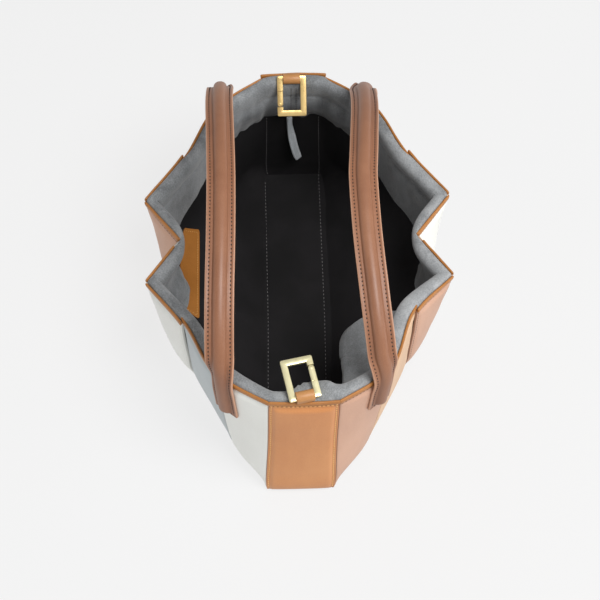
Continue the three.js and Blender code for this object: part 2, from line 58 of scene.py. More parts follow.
def ramp(value: Array | float, low: float, high: float) -> Array:
    """Rise smoothly from 0 at the low value to 1 at the high value."""
    share = np.clip((np.asarray(value, dtype=float) - low) / (high - low), 0.0, 1.0)
    return share * share * (3.0 - 2.0 * share)


def unit(vectors: Array) -> Array:
    """Scale vectors on the last axis to length one."""
    return vectors / np.maximum(np.linalg.norm(vectors, axis=-1, keepdims=True), TINY)


def curve_through(knots: Array, rows: Array, at: Array) -> Array:
    """Follow a smooth curve through the rows of a table.

    Args:
        knots: Rising place of each row.
        rows: The rows, one for each knot.
        at: Places to read, of any shape.

    Returns:
        A row for each place.
    """
    slopes = np.gradient(rows, knots, axis=0)
    place = np.clip(np.searchsorted(knots, at, side="right") - 1, 0, len(knots) - 2)
    gap = knots[place + 1] - knots[place]
    t = ((np.clip(at, knots[0], knots[-1]) - knots[place]) / gap)[..., None]
    gap = gap[..., None]
    start = (1 + 2 * t) * (1 - t) ** 2 * rows[place] + t * (1 - t) ** 2 * gap * slopes[place]
    end = t * t * (3 - 2 * t) * rows[place + 1] + t * t * (t - 1) * gap * slopes[place + 1]
    return start + end


def ripple(points: Array, seed: float) -> Array:
    """Read smooth noise of about -1 to 1 at points given in its cells, in the part that a seed picks."""
    flat = points.reshape(-1, 3) + seed
    return np.array([noise.noise(Vector(row)) for row in flat]).reshape(points.shape[:-1])


def soften(values: Array, reach: float) -> Array:
    """Smooth rows along a closed first axis.

    Args:
        values: Rows in order round the loop.
        reach: Spread of the smoothing, in rows.

    Returns:
        The smoothed rows.
    """
    span = int(math.ceil(3 * reach))
    steps = np.arange(-span, span + 1)
    weights = np.exp(-0.5 * (steps / reach) ** 2)
    weights /= weights.sum()
    return sum(weight * np.roll(values, step, axis=0) for weight, step in zip(weights, steps))


def run_lengths(path: Array) -> Array:
    """Measure the way along a path to each of its points."""
    return np.concatenate([[0.0], np.cumsum(np.linalg.norm(np.diff(path, axis=0), axis=1))])


def read_along(way: Array, rows: Array, at: Array) -> Array:
    """Read rows of three numbers at ways along a path, from the way to each row."""
    return np.stack([np.interp(at, way, rows[:, axis]) for axis in range(3)], axis=1)


def grid_normals(grid: Array, closed: bool = False) -> Array:
    """Find the directions out of a grid's face.

    Args:
        grid: Points in rows and columns.
        closed: Whether the first axis runs round a loop.

    Returns:
        A unit vector for each point, along first axis times second axis.
    """
    if closed:
        along = np.roll(grid, -1, axis=0) - np.roll(grid, 1, axis=0)
    else:
        along = np.gradient(grid, axis=0)
    return unit(np.cross(along, np.gradient(grid, axis=1)))


def linear(red: int, green: int, blue: int) -> Colour:
    """Turn screen colour values of 0 to 255 into the linear values that a shader takes."""
    shares = (red / 255, green / 255, blue / 255)
    return tuple(s / 12.92 if s <= 0.04045 else ((s + 0.055) / 1.055) ** 2.4 for s in shares)


class Wire:
    """A value in a material: an output socket that takes Python's operators."""

    def __init__(self, graph: "Graph", socket: bpy.types.NodeSocket | None) -> None:
        """Keep the socket and the graph that it is in."""
        self.graph = graph
        self.socket = socket

    def maths(self, operation: str, first: Any, second: Any) -> "Wire":
        """Add one Math node of two values."""
        return self.graph.node("ShaderNodeMath", {"operation": operation}, {0: first, 1: second})

    def __add__(self, other: Any) -> "Wire":
        """Add a value."""
        return self.maths("ADD", self, other)

    __radd__ = __add__

    def __mul__(self, other: Any) -> "Wire":
        """Multiply by a value."""
        return self.maths("MULTIPLY", self, other)

    __rmul__ = __mul__

    def __sub__(self, other: Any) -> "Wire":
        """Take a value away."""
        return self.maths("SUBTRACT", self, other)

    def __rsub__(self, other: Any) -> "Wire":
        """Take this away from a value."""
        return self.maths("SUBTRACT", other, self)


class Graph:
    """The nodes of one material, and the numbers of a Mix node's colour sockets."""

    MIX_SHARE = 0
    MIX_FIRST = 6
    MIX_SECOND = 7
    MIX_RESULT = 2

    def __init__(self, name: str) -> None:
        """Start an empty material of that name."""
        self.material = bpy.data.materials.new(name)
        self.material.use_nodes = True
        self.tree = self.material.node_tree
        self.tree.nodes.clear()

    def node(
        self,
        kind: str,
        settings: dict[str, Any] | None = None,
        sockets: dict[int | str, Any] | None = None,
        output: int | str = 0,
    ) -> Wire:
        """Add one node.

        Args:
            kind: Blender's name of the node type.
            settings: Values of the node itself, set first.
            sockets: Values or wires for its inputs, by name or number.
            output: The output that is wanted.

        Returns:
            The wire of that output, an empty one for the node that closes the graph.
        """
        node = self.tree.nodes.new(kind)
        for key, value in (settings or {}).items():
            setattr(node, key, value)
        for key, value in (sockets or {}).items():
            if isinstance(value, Wire):
                self.tree.links.new(value.socket, node.inputs[key])
            else:
                node.inputs[key].default_value = value
        return Wire(self, node.outputs[output] if node.outputs else None)

    def place(self) -> Wire:
        """Read the point of the surface in the bag's own frame, in metres."""
        return self.node("ShaderNodeTexCoord", output="Object")

    def scaled(self, place: Wire, scale: Sequence[float]) -> Wire:
        """Stretch a place by a number for each axis."""
        return self.node("ShaderNodeVectorMath", {"operation": "MULTIPLY"}, {0: place, 1: tuple(scale)})

    def cloud(self, place: Wire, scale: float, detail: float = 3.0, warp: float = 0.0) -> Wire:
        """Add noise about one half: cells to a metre, number of finer layers, and bend by itself."""
        values = {"Vector": place, "Scale": scale, "Detail": detail, "Distortion": warp}
        return self.node("ShaderNodeTexNoise", {}, values, "Fac")

    def cells(self, place: Wire, scale: float) -> Wire:
        """Add the distance to the middle of small cells, as leather pores have."""
        values = {"Vector": place, "Scale": scale}
        return self.node("ShaderNodeTexVoronoi", {"feature": "SMOOTH_F1"}, values)

    def fitted(self, value: Wire, low: float, high: float) -> Wire:
        """Stretch a value so that low is 0 and high is 1, with a soft rise."""
        settings = {"interpolation_type": "SMOOTHSTEP", "clamp": True}
        return self.node("ShaderNodeMapRange", settings, {"Value": value, "From Min": low, "From Max": high})

    def blend(self, share: Wire, first: Any, second: Any) -> Wire:
        """Mix two colours.

        Args:
            share: How much of the second colour shows.
            first: Colour or wire at 0.
            second: Colour or wire at 1.

        Returns:
            The mixed colour.
        """
        colours = [value if isinstance(value, Wire) else (*value, 1.0) for value in (first, second)]
        values = {self.MIX_SHARE: share, self.MIX_FIRST: colours[0], self.MIX_SECOND: colours[1]}
        return self.node("ShaderNodeMix", {"data_type": "RGBA"}, values, self.MIX_RESULT)

    def mark(self, name: str) -> Wire:
        """Read a number that a mesh holds for each of its points."""
        return self.node("ShaderNodeAttribute", {"attribute_name": name}, output="Fac")

    def bump(self, height: Wire, strength: float, depth: float) -> Wire:
        """Turn a height into a surface direction."""
        return self.node("ShaderNodeBump", {}, {"Strength": strength, "Distance": depth, "Height": height})

    def finish(self, sockets: dict[str, Any]) -> bpy.types.Material:
        """Close the material with its surface shader.

        Args:
            sockets: Values or wires of the shader, by socket name.

        Returns:
            The finished material.
        """
        surface = self.node("ShaderNodeBsdfPrincipled", {}, sockets)
        self.node("ShaderNodeOutputMaterial", {}, {"Surface": surface})
        return self.material


@dataclass(frozen=True)
class Finish:
    """A finish: the name of its material and the slot of the record that it belongs to."""

    name: str
    slot: str

    def dress(self, graph: Graph) -> dict[str, Any]:
        """Mix what the surface shader takes, by socket name."""
        raise NotImplementedError

    def material(self) -> bpy.types.Material:
        """Make the material once and hand it out again after that."""
        made = bpy.data.materials.get(self.name)
        if made is not None:
            return made
        graph = Graph(self.name)
        return graph.finish(self.dress(graph))


@dataclass(frozen=True)
class Leather(Finish):
    """Smooth calf leather with fine pores, soft mottling and a cut edge of its own colour."""

    colour: Colour
    shade: Colour
    edge: Colour
    roughness: float
    pores: float
    mottle_cells: float = 12.0
    smear_cells: float = 95.0
    grain_cells: float = 900.0
    pore_cells: float = 1500.0
    depth: float = 0.0004

    def dress(self, graph: Graph) -> dict[str, Any]:
        """Mix mottling, smears, grain and pores.

        Args:
            graph: The nodes of the material.

        Returns:
            Values and wires by socket name.
        """
        place = graph.place()
        mottle = graph.cloud(place, self.mottle_cells, 3.0, 0.4)
        smear = graph.cloud(graph.scaled(place, (1.0, 1.0, 0.35)), self.smear_cells, 2.0)
        grain = graph.cloud(place, self.grain_cells, 3.0)
        pores = graph.cells(place, self.pore_cells)
        tone = (mottle - 0.5) * 0.9 + (smear - 0.5) * 0.3 + (grain - 0.5) * 0.6 + 0.5
        body = graph.blend(graph.fitted(tone, 0.1, 0.9), self.shade, self.colour)
        return {
            # The edge mark blends in the cut edge's colour; on the strips it also paints shade in grooves
            # and under bindings.
            "Base Color": graph.blend(graph.mark("edge"), body, self.edge),
            "Roughness": (mottle - 0.5) * 0.14 + (grain - 0.5) * 0.16 + self.roughness,
            "Normal": graph.bump(pores * 0.6 + grain * 0.7 + smear * 0.8, self.pores, self.depth),
            "Specular IOR Level": 0.42,
        }


@dataclass(frozen=True)
class Suede(Finish):
    """Suede with its nap in light and dark patches, plus painted light and painted shade where a mesh's mark
    asks for them.
    """

    light: Colour
    dark: Colour
    # Colours of the painted light on the roll and of the painted shade low down.
    painted_roll_light: Colour
    painted_low_shade: Colour
    patch_cells: float = 24.0
    stroke_cells: float = 110.0
    fibre_cells: float = 750.0
    depth: float = 0.0006

    def dress(self, graph: Graph) -> dict[str, Any]:
        """Mix patches, strokes and fibres of the nap, then the painted light and painted shade of the mesh's
        mark.

        Args:
            graph: The nodes of the material.

        Returns:
            Values and wires by socket name.
        """
        place = graph.place()
        patches = graph.cloud(place, self.patch_cells, 3.0, 0.9)
        strokes = graph.cloud(graph.scaled(place, (1.0, 1.0, 0.4)), self.stroke_cells, 3.0, 0.8)
        fibres = graph.cloud(place, self.fibre_cells, 4.0)
        tone = (patches - 0.5) * 1.1 + (strokes - 0.5) * 0.5 + (fibres - 0.5) * 0.95 + 0.5
        nap = graph.blend(graph.fitted(tone, 0.0, 1.0), self.dark, self.light)
        # Painted light where the mark is above zero, patchy at its edge; painted shade where it is below
        # zero.
        painted_light_share = graph.fitted(graph.mark("edge") + (tone - 0.5) * 0.4, 0.0, 1.0)
        low = graph.fitted(graph.mark("edge") * -1.0, 0.0, 1.0)
        return {
            "Base Color": graph.blend(low, graph.blend(painted_light_share, nap, self.painted_roll_light), self.painted_low_shade),
            "Roughness": (fibres - 0.5) * 0.1 + 0.93,
            "Normal": graph.bump(fibres * 0.8 + strokes * 0.9, 0.5, self.depth),
            "Specular IOR Level": 0.15,
            "Sheen Weight": 0.3,
            "Sheen Roughness": 0.55,
        }


@dataclass(frozen=True)
class LiningCloth(Finish):
    """Dark close-woven lining cloth."""

    colour: Colour
    dust: Colour
    threads: float = 2200.0
    thread_turn: float = 6.28
    fade_cells: float = 22.0
    depth: float = 0.0003

    def dress(self, graph: Graph) -> dict[str, Any]:
        """Mix the weave from bands along each axis, and a faded bloom.

        Args:
            graph: The nodes of the material.

        Returns:
            Values and wires by socket name.
        """
        place = graph.place()
        scale = self.threads / self.thread_turn
        bands = {"Scale": scale, "Distortion": 0.4, "Detail": 1.0, "Vector": place}
        warp, weft, rise = (
            graph.node("ShaderNodeTexWave", {"bands_direction": axis}, bands, "Fac") for axis in "XYZ"
        )
        weave = (warp + weft + rise) * 0.33
        fade = graph.cloud(place, self.fade_cells, 3.0, 0.5)
        bloom = graph.fitted(fade * 0.7 + weave * 0.3, 0.3, 0.75)
        return {
            "Base Color": graph.blend(bloom, self.colour, self.dust),
            "Roughness": weave * 0.12 + 0.7,
            "Normal": graph.bump(weave, 0.35, self.depth),
            "Specular IOR Level": 0.3,
        }


@dataclass(frozen=True)
class Metal(Finish):
    """Polished plated metal with fine brushing along its arms."""

    colour: Colour
    worn: Colour
    roughness: float
    metallic: float = 0.82
    brush_cells: float = 2400.0
    cloud_cells: float = 120.0
    depth: float = 0.0001

    def dress(self, graph: Graph) -> dict[str, Any]:
        """Mix brushing and clouds.

        Args:
            graph: The nodes of the material.

        Returns:
            Values and wires by socket name.
        """
        place = graph.place()
        brush = graph.cloud(graph.scaled(place, (0.05, 1.0, 1.0)), self.brush_cells, 2.0)
        cloud = graph.cloud(place, self.cloud_cells, 2.0)
        shine = graph.fitted(brush * 0.5 + cloud * 0.5, 0.3, 0.7)
        return {
            "Base Color": graph.blend(shine, self.worn, self.colour),
            "Roughness": (brush - 0.5) * 0.14 + (cloud - 0.5) * 0.1 + self.roughness,
            "Normal": graph.bump(brush, 0.06, self.depth),
            "Metallic": self.metallic,
        }


@dataclass(frozen=True)
class Thread(Finish):
    """Twisted sewing thread."""

    colour: Colour
    shade: Colour
    twist_cells: float = 2600.0
    depth: float = 0.0002

    def dress(self, graph: Graph) -> dict[str, Any]:
        """Mix the light and dark of the twist.

        Args:
            graph: The nodes of the material.

        Returns:
            Values and wires by socket name.
        """
        twist = graph.cloud(graph.place(), self.twist_cells, 2.0)
        return {
            "Base Color": graph.blend(graph.fitted(twist, 0.3, 0.7), self.shade, self.colour),
            "Roughness": (twist - 0.5) * 0.2 + 0.62,
            "Normal": graph.bump(twist, 0.4, self.depth),
        }


class Finishes:
    """All the finishes of the bag."""

    TAN = Leather("tan calf", "tan_leather", linear(212, 148, 94), linear(195, 128, 75),
                  linear(122, 66, 31), 0.45, 0.3)
    LIGHT_TAN = Leather("pale tan calf", "light_tan_leather", linear(226, 190, 154), linear(208, 168, 132),
                        linear(150, 104, 70), 0.48, 0.3)
    BROWN = Leather("brown calf", "brown_leather", linear(205, 164, 140), linear(188, 145, 121),
                    linear(104, 66, 47), 0.48, 0.3)
    WHITE = Leather("white calf", "white_leather", linear(238, 239, 234), linear(229, 229, 223),
                    linear(196, 195, 188), 0.46, 0.22)
    GREY = Leather("pale grey calf", "grey_leather", linear(186, 193, 195), linear(174, 181, 183),
                   linear(140, 144, 144), 0.48, 0.22)
    BINDING = Leather("rim calf", "binding_leather", linear(182, 122, 64), linear(156, 100, 46),
                      linear(120, 74, 36), 0.42, 0.25)
    TAB = Leather("tab calf", "binding_leather", linear(192, 140, 88), linear(170, 116, 66),
                  linear(134, 86, 44), 0.44, 0.25)
    HANDLE = Leather("handle calf", "handle_leather", linear(152, 106, 79), linear(132, 88, 64),
                     linear(196, 150, 122), 0.44, 0.25)
    PATCH = Leather("mustard calf", "patch_leather", linear(176, 115, 50), linear(150, 94, 38),
                    linear(104, 62, 27), 0.5, 0.3)
    # Each suede's third colour is painted light for the roll, its fourth painted shade for low down.
    SUEDE = Suede("grey suede", "suede", linear(142, 145, 147), linear(94, 96, 98), linear(192, 194, 195),
                  linear(46, 47, 49))
    STRAP = Suede("strap suede", "strap_suede", linear(190, 195, 199), linear(154, 160, 164),
                  linear(200, 204, 207), linear(96, 98, 100))
    LINING = LiningCloth("black lining cloth", "lining", linear(17, 16, 17), linear(30, 28, 30))
    # A paler copy of the deep gold for the near ring: its paleness is painted reflection on the same
    # plating.
    PAINTED_LIGHT_GOLD = Metal("gold plate with painted reflection", "gold_metal", (1.0, 0.93, 0.6), (0.95, 0.86, 0.5), 0.36)
    DEEP_GOLD = Metal("deep gold plate", "gold_metal", (0.94, 0.69, 0.3), (0.86, 0.6, 0.24), 0.3)
    TAN_THREAD = Thread("tan thread", "tan_leather", linear(250, 204, 140), linear(232, 178, 108))
    WHITE_THREAD = Thread("white thread", "white_leather", linear(236, 236, 230), linear(220, 220, 214))
    BROWN_THREAD = Thread("brown thread", "brown_leather", linear(118, 70, 46), linear(94, 54, 36))
    # On the handles this thread's darkness is painted shade of the stitch holes; that thread is really the
    # leather's brown.
    DARK_THREAD_AND_PAINTED_SHADE = Thread("dark thread and painted shade", "handle_leather", linear(46, 26, 19), linear(28, 16, 12))
    GREY_THREAD = Thread("grey thread", "lining", linear(150, 148, 148), linear(116, 114, 114))
    PALE_THREAD = Thread("pale thread", "patch_leather", linear(226, 182, 116), linear(196, 148, 88))
    STRAP_THREAD = Thread("strap thread", "strap_suede", linear(240, 242, 244), linear(214, 216, 218))


class Shell:
    """Points and faces of one piece, gathered in millimetres."""

    def __init__(self) -> None:
        """Start with nothing."""
        self.points: list[Array] = []
        self.faces: list[Array] = []
        self.marks: list[Array] = []
        self.count = 0

    def put(self, points: Array, mark: Array | float = 0.0) -> Array:
        """Add points with a mark for each: the share of a cut edge's colour, which on the strips also paints
        shade; on suede, painted light above zero and painted shade below zero.

        Args:
            points: Points, three numbers each on the last axis.
            mark: The mark, for all or for each.

        Returns:
            The numbers of the points, in the same rows and columns.
        """
        flat = points.reshape(-1, 3)
        numbers = np.arange(self.count, self.count + len(flat)).reshape(points.shape[:-1])
        self.points.append(flat)
        self.marks.append(np.broadcast_to(mark, points.shape[:-1]).reshape(-1).astype(float))
        self.count += len(flat)
        return numbers

    def join(self, first: Array, second: Array, closed: bool = False) -> None:
        """Put a row of four-sided faces between two lines of points.

        Args:
            first: Numbers of the first line's points.
            second: Numbers of the second line's points.
            closed: Whether the lines run round to their start.
        """
        if closed:
            first = np.append(first, first[0])
            second = np.append(second, second[0])
        self.faces.append(np.stack([first[:-1], first[1:], second[1:], second[:-1]], axis=1))

    def sheet(self, numbers: Array, closed: bool = False) -> None:
        """Cover a grid of points with faces, its first axis closed or open."""
        for column in range(numbers.shape[1] - 1):
            self.join(numbers[:, column], numbers[:, column + 1], closed)

    def slab(
        self,
        front: Array,
        back: Array,
        closed: bool = False,
        rim_mark: float = 0.0,
        mark: Array | float = 0.0,
    ) -> "Shell":
        """Add a closed piece between two grids.

        Args:
            front: Grid of the outer face.
            back: Grid of the inner face, of the same shape.
            closed: Whether the first axis runs round a loop.
            rim_mark: Mark of the points along the border.
            mark: Mark of the other points.

        Returns:
            This shell.
        """
        mark = np.array(np.broadcast_to(mark, front.shape[:2]))
        mark[:, [0, -1]] = rim_mark
        if not closed:
            mark[[0, -1], :] = rim_mark
        outer = self.put(front, mark)
        inner = self.put(back, mark)
        self.sheet(outer, closed)
        self.sheet(inner[:, ::-1], closed)
        self.join(inner[:, 0], outer[:, 0], closed)
        self.join(outer[:, -1], inner[:, -1], closed)
        if not closed:
            self.join(outer[0], inner[0])
            self.join(inner[-1], outer[-1])
        return self

    def tube(self, rings: Array, mark: Array | float = 0.0) -> "Shell":
        """Add a bar from rings of points, with its ends covered.

        Args:
            rings: One ring of points for each place along the bar.
            mark: Mark, for all or for each point of a ring.

        Returns:
            This shell.
        """
        numbers = self.put(rings, mark)
        for here, there in zip(numbers[:-1], numbers[1:]):
            self.join(here, there, True)
        for ring, line in ((rings[0], numbers[0][::-1]), (rings[-1], numbers[-1])):
            middle = self.put(ring.mean(axis=0)[None])[0]
            turned = np.append(line, line[0])
            self.faces.append(np.stack([turned[:-1], turned[1:], np.full(len(line), middle)], axis=1))
        return self

    def piece(
        self,
        name: str,
        finish: Finish,
        replaces: Sequence[str] = (),
        body: str = "bag",
        sharp: float = 50.0,
    ) -> bpy.types.Object:
        """Make the object, dress it and let it ride on a body.

        Args:
            name: Name of the piece.
            finish: Finish that gives its material.
            replaces: CAD nodes that the piece stands for.
            body: Body that carries it.
            sharp: Angle in degrees above which an edge stays crisp.

        Returns:
            The new object.
        """
        mesh = bpy.data.meshes.new(name)
        points = np.concatenate(self.points) * MM
        faces = [tuple(face) for block in self.faces for face in block.tolist()]
        mesh.from_pydata(points.tolist(), [], faces)
        work = bmesh.new()
        work.from_mesh(mesh)
        bmesh.ops.recalc_face_normals(work, faces=work.faces)
        work.to_mesh(mesh)
        work.free()
        # The edge mark: cut edge colour, painted shade on the strips, painted light and shade on the suede.
        mark = mesh.attributes.new("edge", "FLOAT", "POINT")
        mark.data.foreach_set("value", np.concatenate(self.marks).astype(np.float32))
        mesh.polygons.foreach_set("use_smooth", np.ones(len(mesh.polygons), dtype=bool))
        mesh.set_sharp_from_angle(angle=math.radians(sharp))
        mesh.materials.append(finish.material())
        piece = bpy.data.objects.new(name, mesh)
        bpy.context.scene.collection.objects.link(piece)
        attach(piece, body)
        if replaces:
            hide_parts(*replaces)
        LOG.info("%s: %d faces", name, len(mesh.polygons))
        return piece


@dataclass
class Sewing:
    """Rows of stitches that are gathered into one piece of thread."""

    name: str
    finish: Thread
    length: float = 2.5
    pitch: float = 3.7
    radius: float = 0.33
    sink: float = 0.12
    sides: int = 6
    aim: float = 0.6
    slant: float = 0.16
    slant_turn: float = 2.4
    profile: Table = ((-1, 0.35), (-0.78, 0.8), (0, 1), (0.78, 0.8), (1, 0.35))
    shell: Shell = field(default_factory=Shell)

    def row(self, path: Array, out: Array) -> None:
        """Sew along a line.

        Args:
            path: Points of the line on the surface.
            out: Direction out of the surface at each point.
        """
        way = run_lengths(path)
        count = max(int(way[-1] / self.pitch), 1)
        middles = (np.arange(count) + 0.5) * way[-1] / count
        ahead = read_along(way, path, np.minimum(middles + self.aim, way[-1]))
        run = unit(ahead - read_along(way, path, np.maximum(middles - self.aim, 0)))
        up = unit(read_along(way, out, middles))
        side = unit(np.cross(run, up))
        up = np.cross(side, run)
        slant = self.slant * np.sin(np.arange(count) * self.slant_turn)[:, None]
        run = unit(run + slant * side)
        side = np.cross(run, up)
        middle = read_along(way, path, middles) - up * self.sink
        profile = np.array(self.profile, dtype=float)
        angles = np.arange(self.sides) * 2 * math.pi / self.sides
        for at, along, across, lift in zip(middle, run, side, up):
            ring = np.cos(angles)[:, None] * across + np.sin(angles)[:, None] * lift
            rings = at + profile[:, 0, None, None] * along * self.length / 2
            self.shell.tube(rings + profile[:, 1, None, None] * ring[None] * self.radius)

    def piece(self) -> bpy.types.Object:
        """Make the thread's object."""
        return self.shell.piece(self.name, self.finish, sharp=75.0)


class Rib(Enum):
    """The lines from base to rim where two strips meet."""

    CORNER = "corner"
    SEAM = "seam"
    STEP = "step"
    TIP = "tip"
    APEX = "apex"


@dataclass(frozen=True)
class Section:
    """The outline of a quarter of the bag at one share of its height, in millimetres."""

    level: float
    corner: Pair
    seam: Pair
    step: Pair
    tip: Pair
    apex: Pair
    corner_swell: float
    tip_swell: float


@dataclass
class Outline:
    """The outer form of the leather body: ribs from base to rim and the faces between them."""

    foot: float = 0.2
    corner_rim: float = 167.0
    seam_rim: float = 163.5
    step_rim: float = 161.0
    tip_rim: float = 154.5
    apex_rim: float = 156.0
    step_lean: Pair = (-8.0, -3.0)
    step_lift: float = 3.2
    flat_strips: tuple[tuple[int, float], ...] = ((0, 0.3), (2, 0.75), (16, 0.3))
    near_sway: float = 3.5
    far_lean: float = 3.0
    far_rise: float = 1.8
    mitre_reach: float = 7.0
    tip_reach: float = 4.5
    tip_ease: float = 0.8
    far_tip: float = 3.0
    bend_levels: Pair = (0.35, 0.9)
    lean_level: float = 0.55
    rise_level: float = 0.8
    share_step: float = 0.02
    level_step: float = 0.012
    rounding: tuple[tuple[Rib, float], ...] = ((Rib.CORNER, 0.3), (Rib.SEAM, 0.8), (Rib.STEP, 0.8))
    sections: tuple[Section, ...] = (
        Section(0.00, (193, 33.5), (127, 33), (63, 33), (3, 33), (0, 33), 1, 0),
        Section(0.07, (193.5, 34), (146, 50), (72, 50), (5, 51), (0, 51), 5, 0),
        Section(0.16, (193, 34), (154.5, 64.5), (84, 72), (8, 76), (0, 76), 6.5, 1),
        Section(0.27, (192.5, 33.5), (156, 69), (92.5, 93), (12, 101), (0, 100.5), 4, 4),
        Section(0.40, (192, 33), (156, 72), (95.5, 103.5), (21, 123.5), (0, 122), 2, 7),
        Section(0.60, (191, 32.5), (156, 75.5), (96.5, 107), (34, 137), (0, 130), 1, 6),
        Section(0.80, (190.5, 32.5), (155.5, 79), (97, 109), (44, 143), (0, 124), 0, 2.5),
        Section(1.00, (190, 32.5), (154, 81.5), (97, 110), (48, 148), (0, 115), 0, 0),
    )

    def __post_init__(self) -> None:
        """List the ribs from the near end's +Y corner, along that side, round the far end and back."""
        half = (Rib.CORNER, Rib.SEAM, Rib.STEP, Rib.TIP)
        right = [(rib, 1, 1) for rib in half] + [(Rib.APEX, 0, 1)]
        right += [(rib, -1, 1) for rib in reversed(half)]
        self.ribs = right + [(rib, -along, -1) for rib, along, _ in right]
        self.knots = np.array([section.level for section in self.sections])
        self.leaning_rib = self.ribs.index((Rib.STEP, 1, 1))

    @property
    def count(self) -> int:
        """Number of strips round the bag."""
        return len(self.ribs)

    @property
    def far_end(self) -> int:
        """Number of the far end's strip."""
        return self.count // 2 - 1

    def rim(self, rib: int) -> float:
        """Height of a rib's top end."""
        return getattr(self, f"{self.ribs[rib][0].value}_rim")

    def strip_ribs(self, strip: int) -> tuple[int, int]:
        """Numbers of the ribs at the two sides of a strip."""
        return strip, (strip + 1) % self.count

    def low_rim(self, strip: int) -> float:
        """Height of the lower of a strip's two top corners."""
        return min(self.rim(rib) for rib in self.strip_ribs(strip))

    def sway(self, along: Array) -> Array:
        """Find how far the base stands to the left at places along the bag."""
        return self.near_sway * np.maximum(along, 0) / self.sections[0].corner[0]

    def rib_points(self, rib: int, levels: Array) -> Array:
        """Find points on a rib.

        Args:
            rib: Number of the rib.
            levels: Shares of its height, of any shape.

        Returns:
            A point for each level.
        """
        kind, along, side = self.ribs[rib]
        rows = np.array([getattr(section, kind.value) for section in self.sections], dtype=float)
        plan = curve_through(self.knots, rows, levels)
        points = np.empty(levels.shape + (3,))
        points[..., 0] = along * plan[..., 0]
        points[..., 1] = side * plan[..., 1] - self.sway(points[..., 0]) * (1 - levels)
        points[..., 2] = self.foot + (self.rim(rib) - self.foot) * levels
        if (kind, along) == (Rib.TIP, -1):
            points[..., 1] += side * self.far_tip * levels ** 3
        if rib == self.leaning_rib:
            points[..., 0] += self.step_lean[0] * levels
            points[..., 1] += self.step_lean[1] * levels
        return points

    def kinds(self, strip: int) -> set[Rib]:
        """Kinds of the two ribs of a strip."""
        return {self.ribs[rib][0] for rib in self.strip_ribs(strip)}

    def swell(self, strip: int, levels: Array) -> Array:
        """Find how far the middle of a strip swells out at each level.

        Args:
            strip: Number of the strip.
            levels: Shares of the height.

        Returns:
            A way out for each level.
        """
        kinds = self.kinds(strip)
        name = "corner_swell" if kinds == {Rib.CORNER, Rib.SEAM} else "tip_swell"
        if kinds not in ({Rib.CORNER, Rib.SEAM}, {Rib.STEP, Rib.TIP}):
            return np.zeros(levels.shape)
        rows = np.array([[getattr(section, name)] for section in self.sections], dtype=float)
        bulge = dict(self.flat_strips).get(strip, 1.0)
        return bulge * curve_through(self.knots, rows, levels)[..., 0]

    def bend(self, strip: int, shares: Array, levels: Array) -> Array:
        """Find how a strip bends to meet its neighbours smoothly near the rim, and rounds off at a tip.

        Args:
            strip: Number of the strip.
            shares: Places across it.
            levels: Shares of the height, of the same shape.

        Returns:
            A move for each place.
        """
        ribs = [(strip + step) % self.count for step in (-1, 0, 1, 2)]
        before, first, second, after = (self.rib_points(rib, levels) for rib in ribs)
        kinds = [self.ribs[rib][0] for rib in ribs[1:3]]
        run = second - first
        long = np.linalg.norm(run, axis=-1, keepdims=True)
        here, come, go = unit(run), unit(first - before), unit(after - second)
        soft = dict(self.rounding)
        leave = unit(here + soft.get(kinds[0], 0.0) * (come - here) / 2) * long - run
        arrive = unit(here + soft.get(kinds[1], 0.0) * (go - here) / 2) * long - run
        s = np.clip(shares, 0, 1)[..., None]
        near_rim = ramp(levels, *self.bend_levels)[..., None]
        move = (s * (1 - s) ** 2 * leave - s * s * (1 - s) * arrive) * near_rim
        if kinds[0] is Rib.TIP:
            move += (here - come) * self.eased(s * long)
        if kinds[1] is Rib.TIP:
            move += (go - here) * self.eased((1 - s) * long)
        return move

    def eased(self, way: Array) -> Array:
        """Find how far a tip's sharp corner is drawn in at ways from its rib."""
        return self.tip_ease * np.clip(1 - way / self.tip_reach, 0, 1) ** 2

    def face(self, strip: int, shares: Array, levels: Array) -> Array:
        """Find points on the outer face of a strip.

        Args:
            strip: Number of the strip.
            shares: Places across it, from its first rib to its second.
            levels: Shares of the height, of the same shape.

        Returns:
            A point for each place.
        """
        first, second = (self.rib_points(rib, levels) for rib in self.strip_ribs(strip))
        run = second - first
        out = unit(np.stack([run[..., 1], -run[..., 0], np.zeros(levels.shape)], axis=-1))
        hump = 4 * shares * (1 - shares) * self.swell(strip, levels)
        return first + run * shares[..., None] + out * hump[..., None] + self.bend(strip, shares, levels)

    def normals(self, strip: int, shares: Array, levels: Array) -> Array:
        """Find the directions out of a strip's face, by small steps over it.

        Args:
            strip: Number of the strip.
            shares: Places across it.
            levels: Shares of the height.

        Returns:
            A unit vector for each place.
        """
        low = np.clip(levels - self.level_step, 0, 1)
        high = np.clip(levels + self.level_step, 0, 1)
        step = self.share_step
        across = self.face(strip, shares + step, levels) - self.face(strip, shares - step, levels)
        up = self.face(strip, shares, high) - self.face(strip, shares, low)
        return unit(np.cross(across, up))

    def mitre(self, rib: int, levels: Array) -> Array:
        """Find the direction in which both strips at a rib grow thicker.

        Args:
            rib: Number of the rib.
            levels: Shares of the height.

        Returns:
            A vector for each level.
        """
        before = self.normals((rib - 1) % self.count, np.ones(levels.shape), levels)
        after = self.normals(rib, np.zeros(levels.shape), levels)
        return (before + after) / (1 + (before * after).sum(axis=-1, keepdims=True))

    def widths(self, strip: int, levels: Array) -> Array:
        """Measure a strip across at each level."""
        first, second = (self.rib_points(rib, levels) for rib in self.strip_ribs(strip))
        return np.linalg.norm(second - first, axis=-1)

